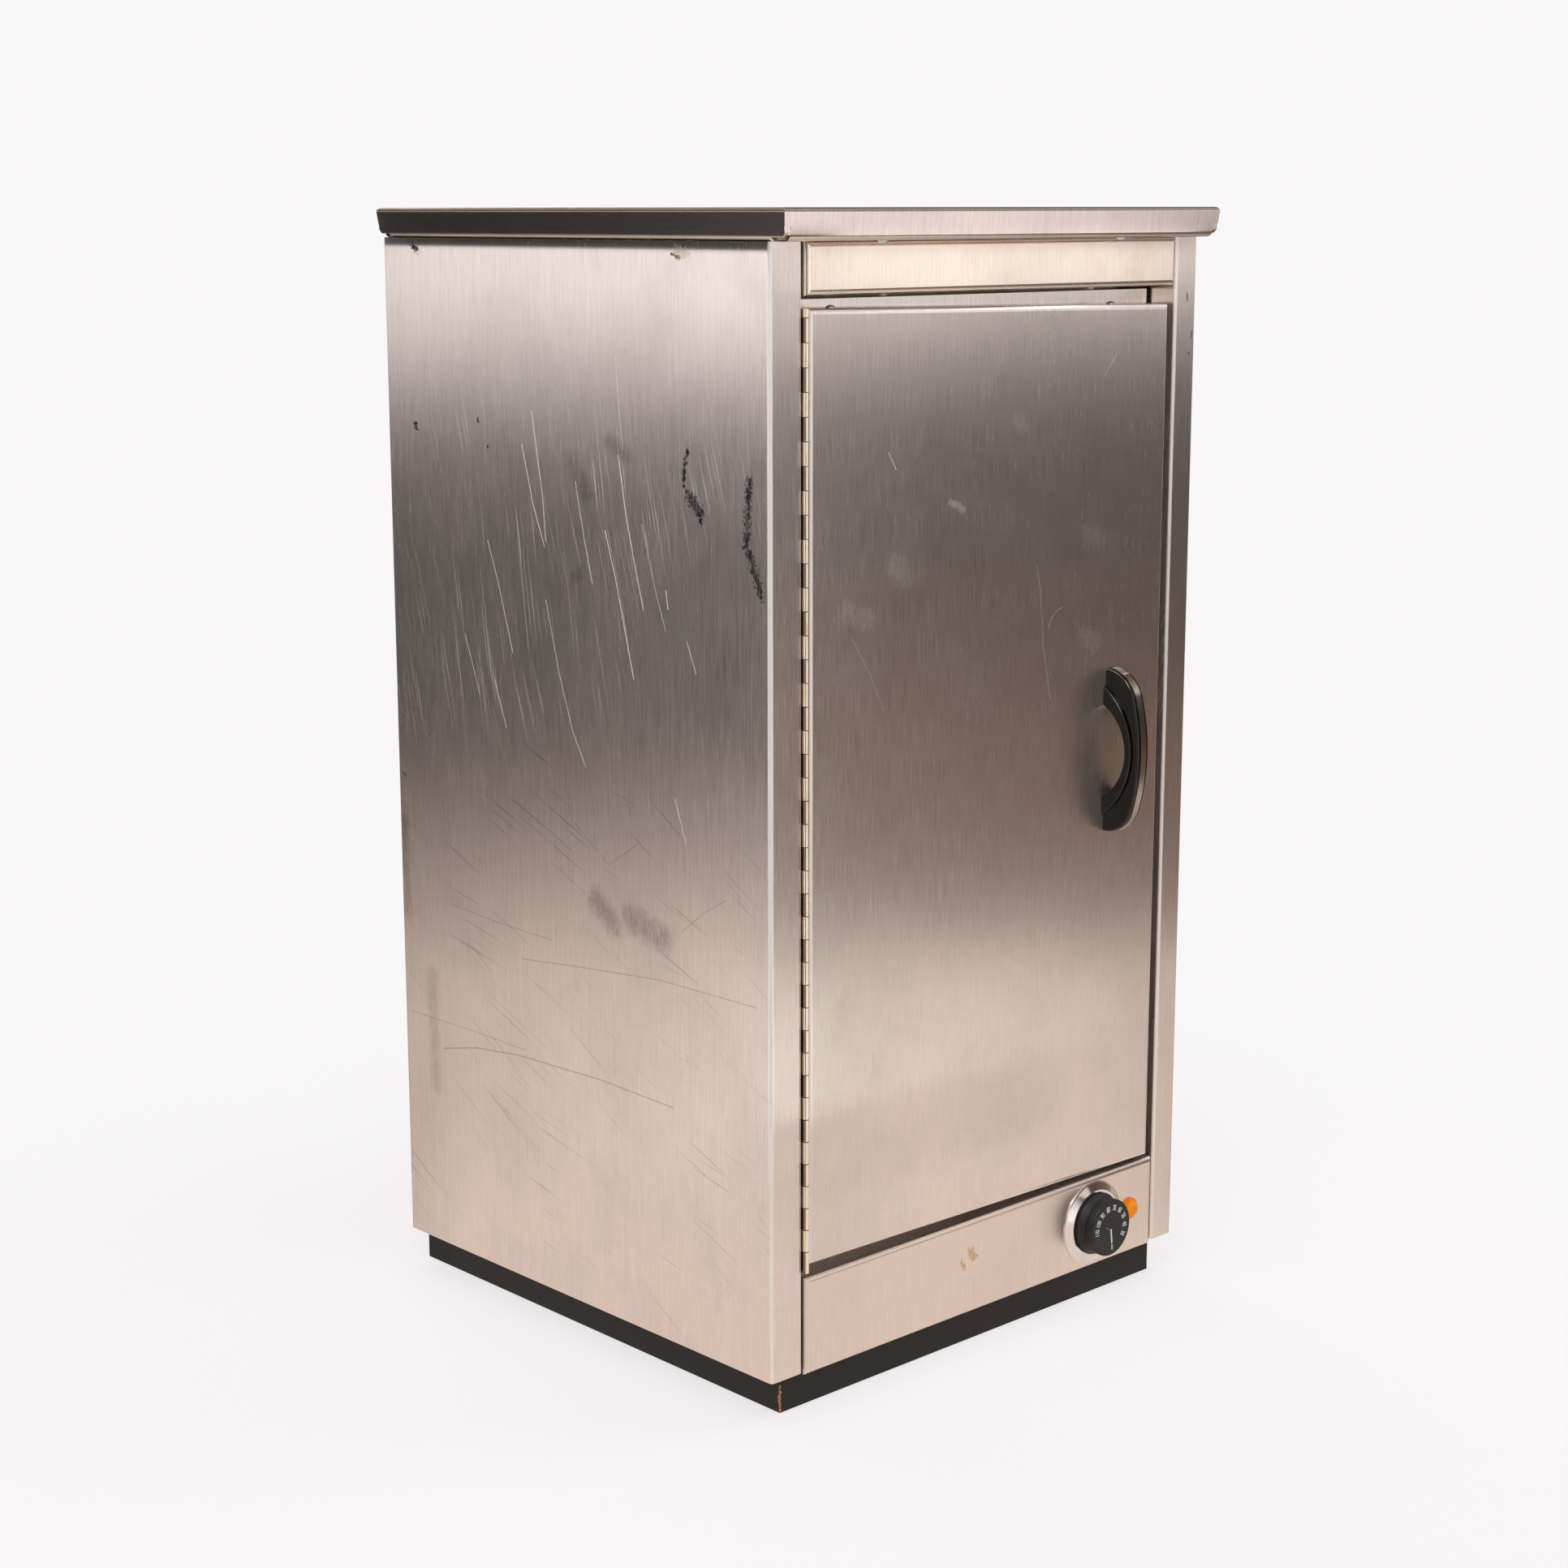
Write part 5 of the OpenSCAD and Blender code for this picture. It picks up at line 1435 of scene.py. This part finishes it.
    def make_cards(self) -> None:
        """The floor, walls and ceiling whose reflections the brushed steel shows."""
        self.glow(
            level_disc("card_floor", self.floor_reach, self.card_z),
            lambda where: (where * FLAT).length() / self.floor_reach,
            shares(self.floor_reach, self.floor_stops),
            self.floor_sector,
        )
        self.glow(
            wall_ring("card_around", (0.0, 0.0), self.around_r, self.wall_h, (0.0, 360.0)),
            lambda where: where.parts()[2] / self.wall_h,
            shares(self.wall_h, self.around_stops),
            self.around_sector,
        )
        self.glow(
            wall_ring("card_front", self.front_middle, self.front_r, self.wall_h, self.front_span),
            self.front_height,
            shares(self.wall_h, self.front_stops),
            self.front_sector,
        )
        ceiling = level_disc("card_ceiling", self.around_r, self.wall_h)
        self.glow(ceiling, lambda where: where.length(), ((0.0, self.brown), (1.0, self.brown)))

    def make_flags(self) -> None:
        """Narrow strips close to the worktop's skirts, the fascia and the control panel."""
        (start, end), (low, high) = self.flag_y, self.flag_z
        side = wall_strip("card_flag_side", (self.flag_x, start), (self.flag_x, end), low, high)
        self.glow(side, lambda where: where.parts()[1] - self.flag_zero, self.side_stops)
        for name, (first, last), (low, high), stops in self.front_flags:
            strip = wall_strip(name, (first, self.flag_front), (last, self.flag_front), low, high)
            self.glow(strip, lambda where: where.parts()[0] - self.flag_zero, stops)

    def glow(
        self,
        card: bpy.types.Object,
        measure: Callable[[Shade], Shade],
        stops: Stops,
        sector: Sector | None = None,
    ) -> None:
        """Lights a card along one measure and shows it to gloss alone.

        Args:
            card: the card's object.
            measure: gives the share from 0 to 1 of a point on the card.
            stops: the colours along that share.
            sector: how it changes towards the window behind the camera, if it does.
        """
        graph, material = Graph.of_material(card.name)
        where = graph.position()
        ramp = graph.node("ShaderNodeValToRGB", {"stops": stops}, {"Fac": measure(where)})
        colour = Shade(graph, ramp.outputs["Color"])
        if sector:
            flat = where * FLAT
            reach = flat.length()
            towards = flat.dot(self.window_way) / reach
            gain = towards.ramp(*sector.turn, *sector.gain)
            colour = graph.blend(1.0, colour, gain, "MULTIPLY")
            far = reach.ramp(*self.window_start)
            colour = graph.blend(towards.ramp(*sector.window) * far, colour, self.window)
            slot = (flat.dot(self.slot_way) / reach).ramp(*self.slot_edge) * far
            colour = graph.blend(1.0, colour, 1.0 - slot * (1.0 - self.slot_shade), "MULTIPLY")
            height = where.parts()[2].ramp(*self.softbox_z)
            colour = graph.blend(slot * height, colour, self.softbox)
        graph.show(graph.shader("ShaderNodeEmission", {"Color": colour, "Strength": 1.0}))
        card.data.materials.append(material)
        for ray in ("camera", "diffuse", "transmission", "volume_scatter", "shadow"):
            setattr(card, f"visible_{ray}", False)

    def make_lamps(self) -> None:
        """Three large soft lamps above: at the left, at the right and at the back."""
        for name, at, power in self.lamps:
            data = bpy.data.lights.new(name, "AREA")
            data.size = self.lamp_size
            data.energy = power
            lamp = bpy.data.objects.new(name, data)
            lamp.location = at
            aim = Vector(self.lamp_aim) - Vector(at)
            lamp.rotation_euler = aim.to_track_quat("-Z", "Y").to_euler()
            bpy.context.scene.collection.objects.link(lamp)


def mesh_object(name: str, bm: bmesh.types.BMesh) -> bpy.types.Object:
    """Turns a bmesh into an object of the scene and frees it."""
    mesh = bpy.data.meshes.new(name)
    bm.to_mesh(mesh)
    bm.free()
    made = bpy.data.objects.new(name, mesh)
    bpy.context.scene.collection.objects.link(made)
    return made


def flat_face(name: str, corners: Iterable[Point]) -> bpy.types.Object:
    """An object of one flat face."""
    bm = bmesh.new()
    bm.faces.new([bm.verts.new(corner) for corner in corners])
    return mesh_object(name, bm)


def level_disc(name: str, outer: float, z: float) -> bpy.types.Object:
    """A level disc."""
    angles = (2 * math.pi * i / DISC_SIDES for i in range(DISC_SIDES))
    return flat_face(name, ((outer * math.cos(a), outer * math.sin(a), z) for a in angles))


def wall_ring(name: str, middle: Pair, radius: float, height: float, span: Pair) -> bpy.types.Object:
    """An upright wall round a middle point, between two directions in degrees."""
    bm = bmesh.new()
    start, end = span
    rows = []
    for i in range(RING_STEPS + 1):
        a = math.radians(start + (end - start) * i / RING_STEPS)
        x, y = middle[0] + radius * math.cos(a), middle[1] + radius * math.sin(a)
        rows.append((bm.verts.new((x, y, RING_FOOT)), bm.verts.new((x, y, height))))
    for (low, high), (next_low, next_high) in zip(rows, rows[1:]):
        bm.faces.new((low, next_low, next_high, high))
    return mesh_object(name, bm)


def wall_strip(name: str, start: Pair, end: Pair, low: float, high: float) -> bpy.types.Object:
    """An upright strip between two places on the floor plan and two heights."""
    return flat_face(name, ((*start, low), (*end, low), (*end, high), (*start, high)))


# ------------------------------------------------------------------ main

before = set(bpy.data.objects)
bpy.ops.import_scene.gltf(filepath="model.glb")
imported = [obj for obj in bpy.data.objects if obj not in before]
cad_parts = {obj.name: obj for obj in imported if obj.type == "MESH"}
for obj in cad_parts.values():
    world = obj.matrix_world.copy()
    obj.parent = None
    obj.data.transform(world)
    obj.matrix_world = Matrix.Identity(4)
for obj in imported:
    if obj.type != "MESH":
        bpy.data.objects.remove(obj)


def main() -> None:
    """Builds everything in order."""
    logging.basicConfig(level=logging.INFO)
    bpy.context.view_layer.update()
    PhotoCamera().build()
    for part in (Case(), Chamber(), Door(), PianoHinge(), Controls()):
        part.build()
    Studio().build()


if __name__ == "__main__":
    main()
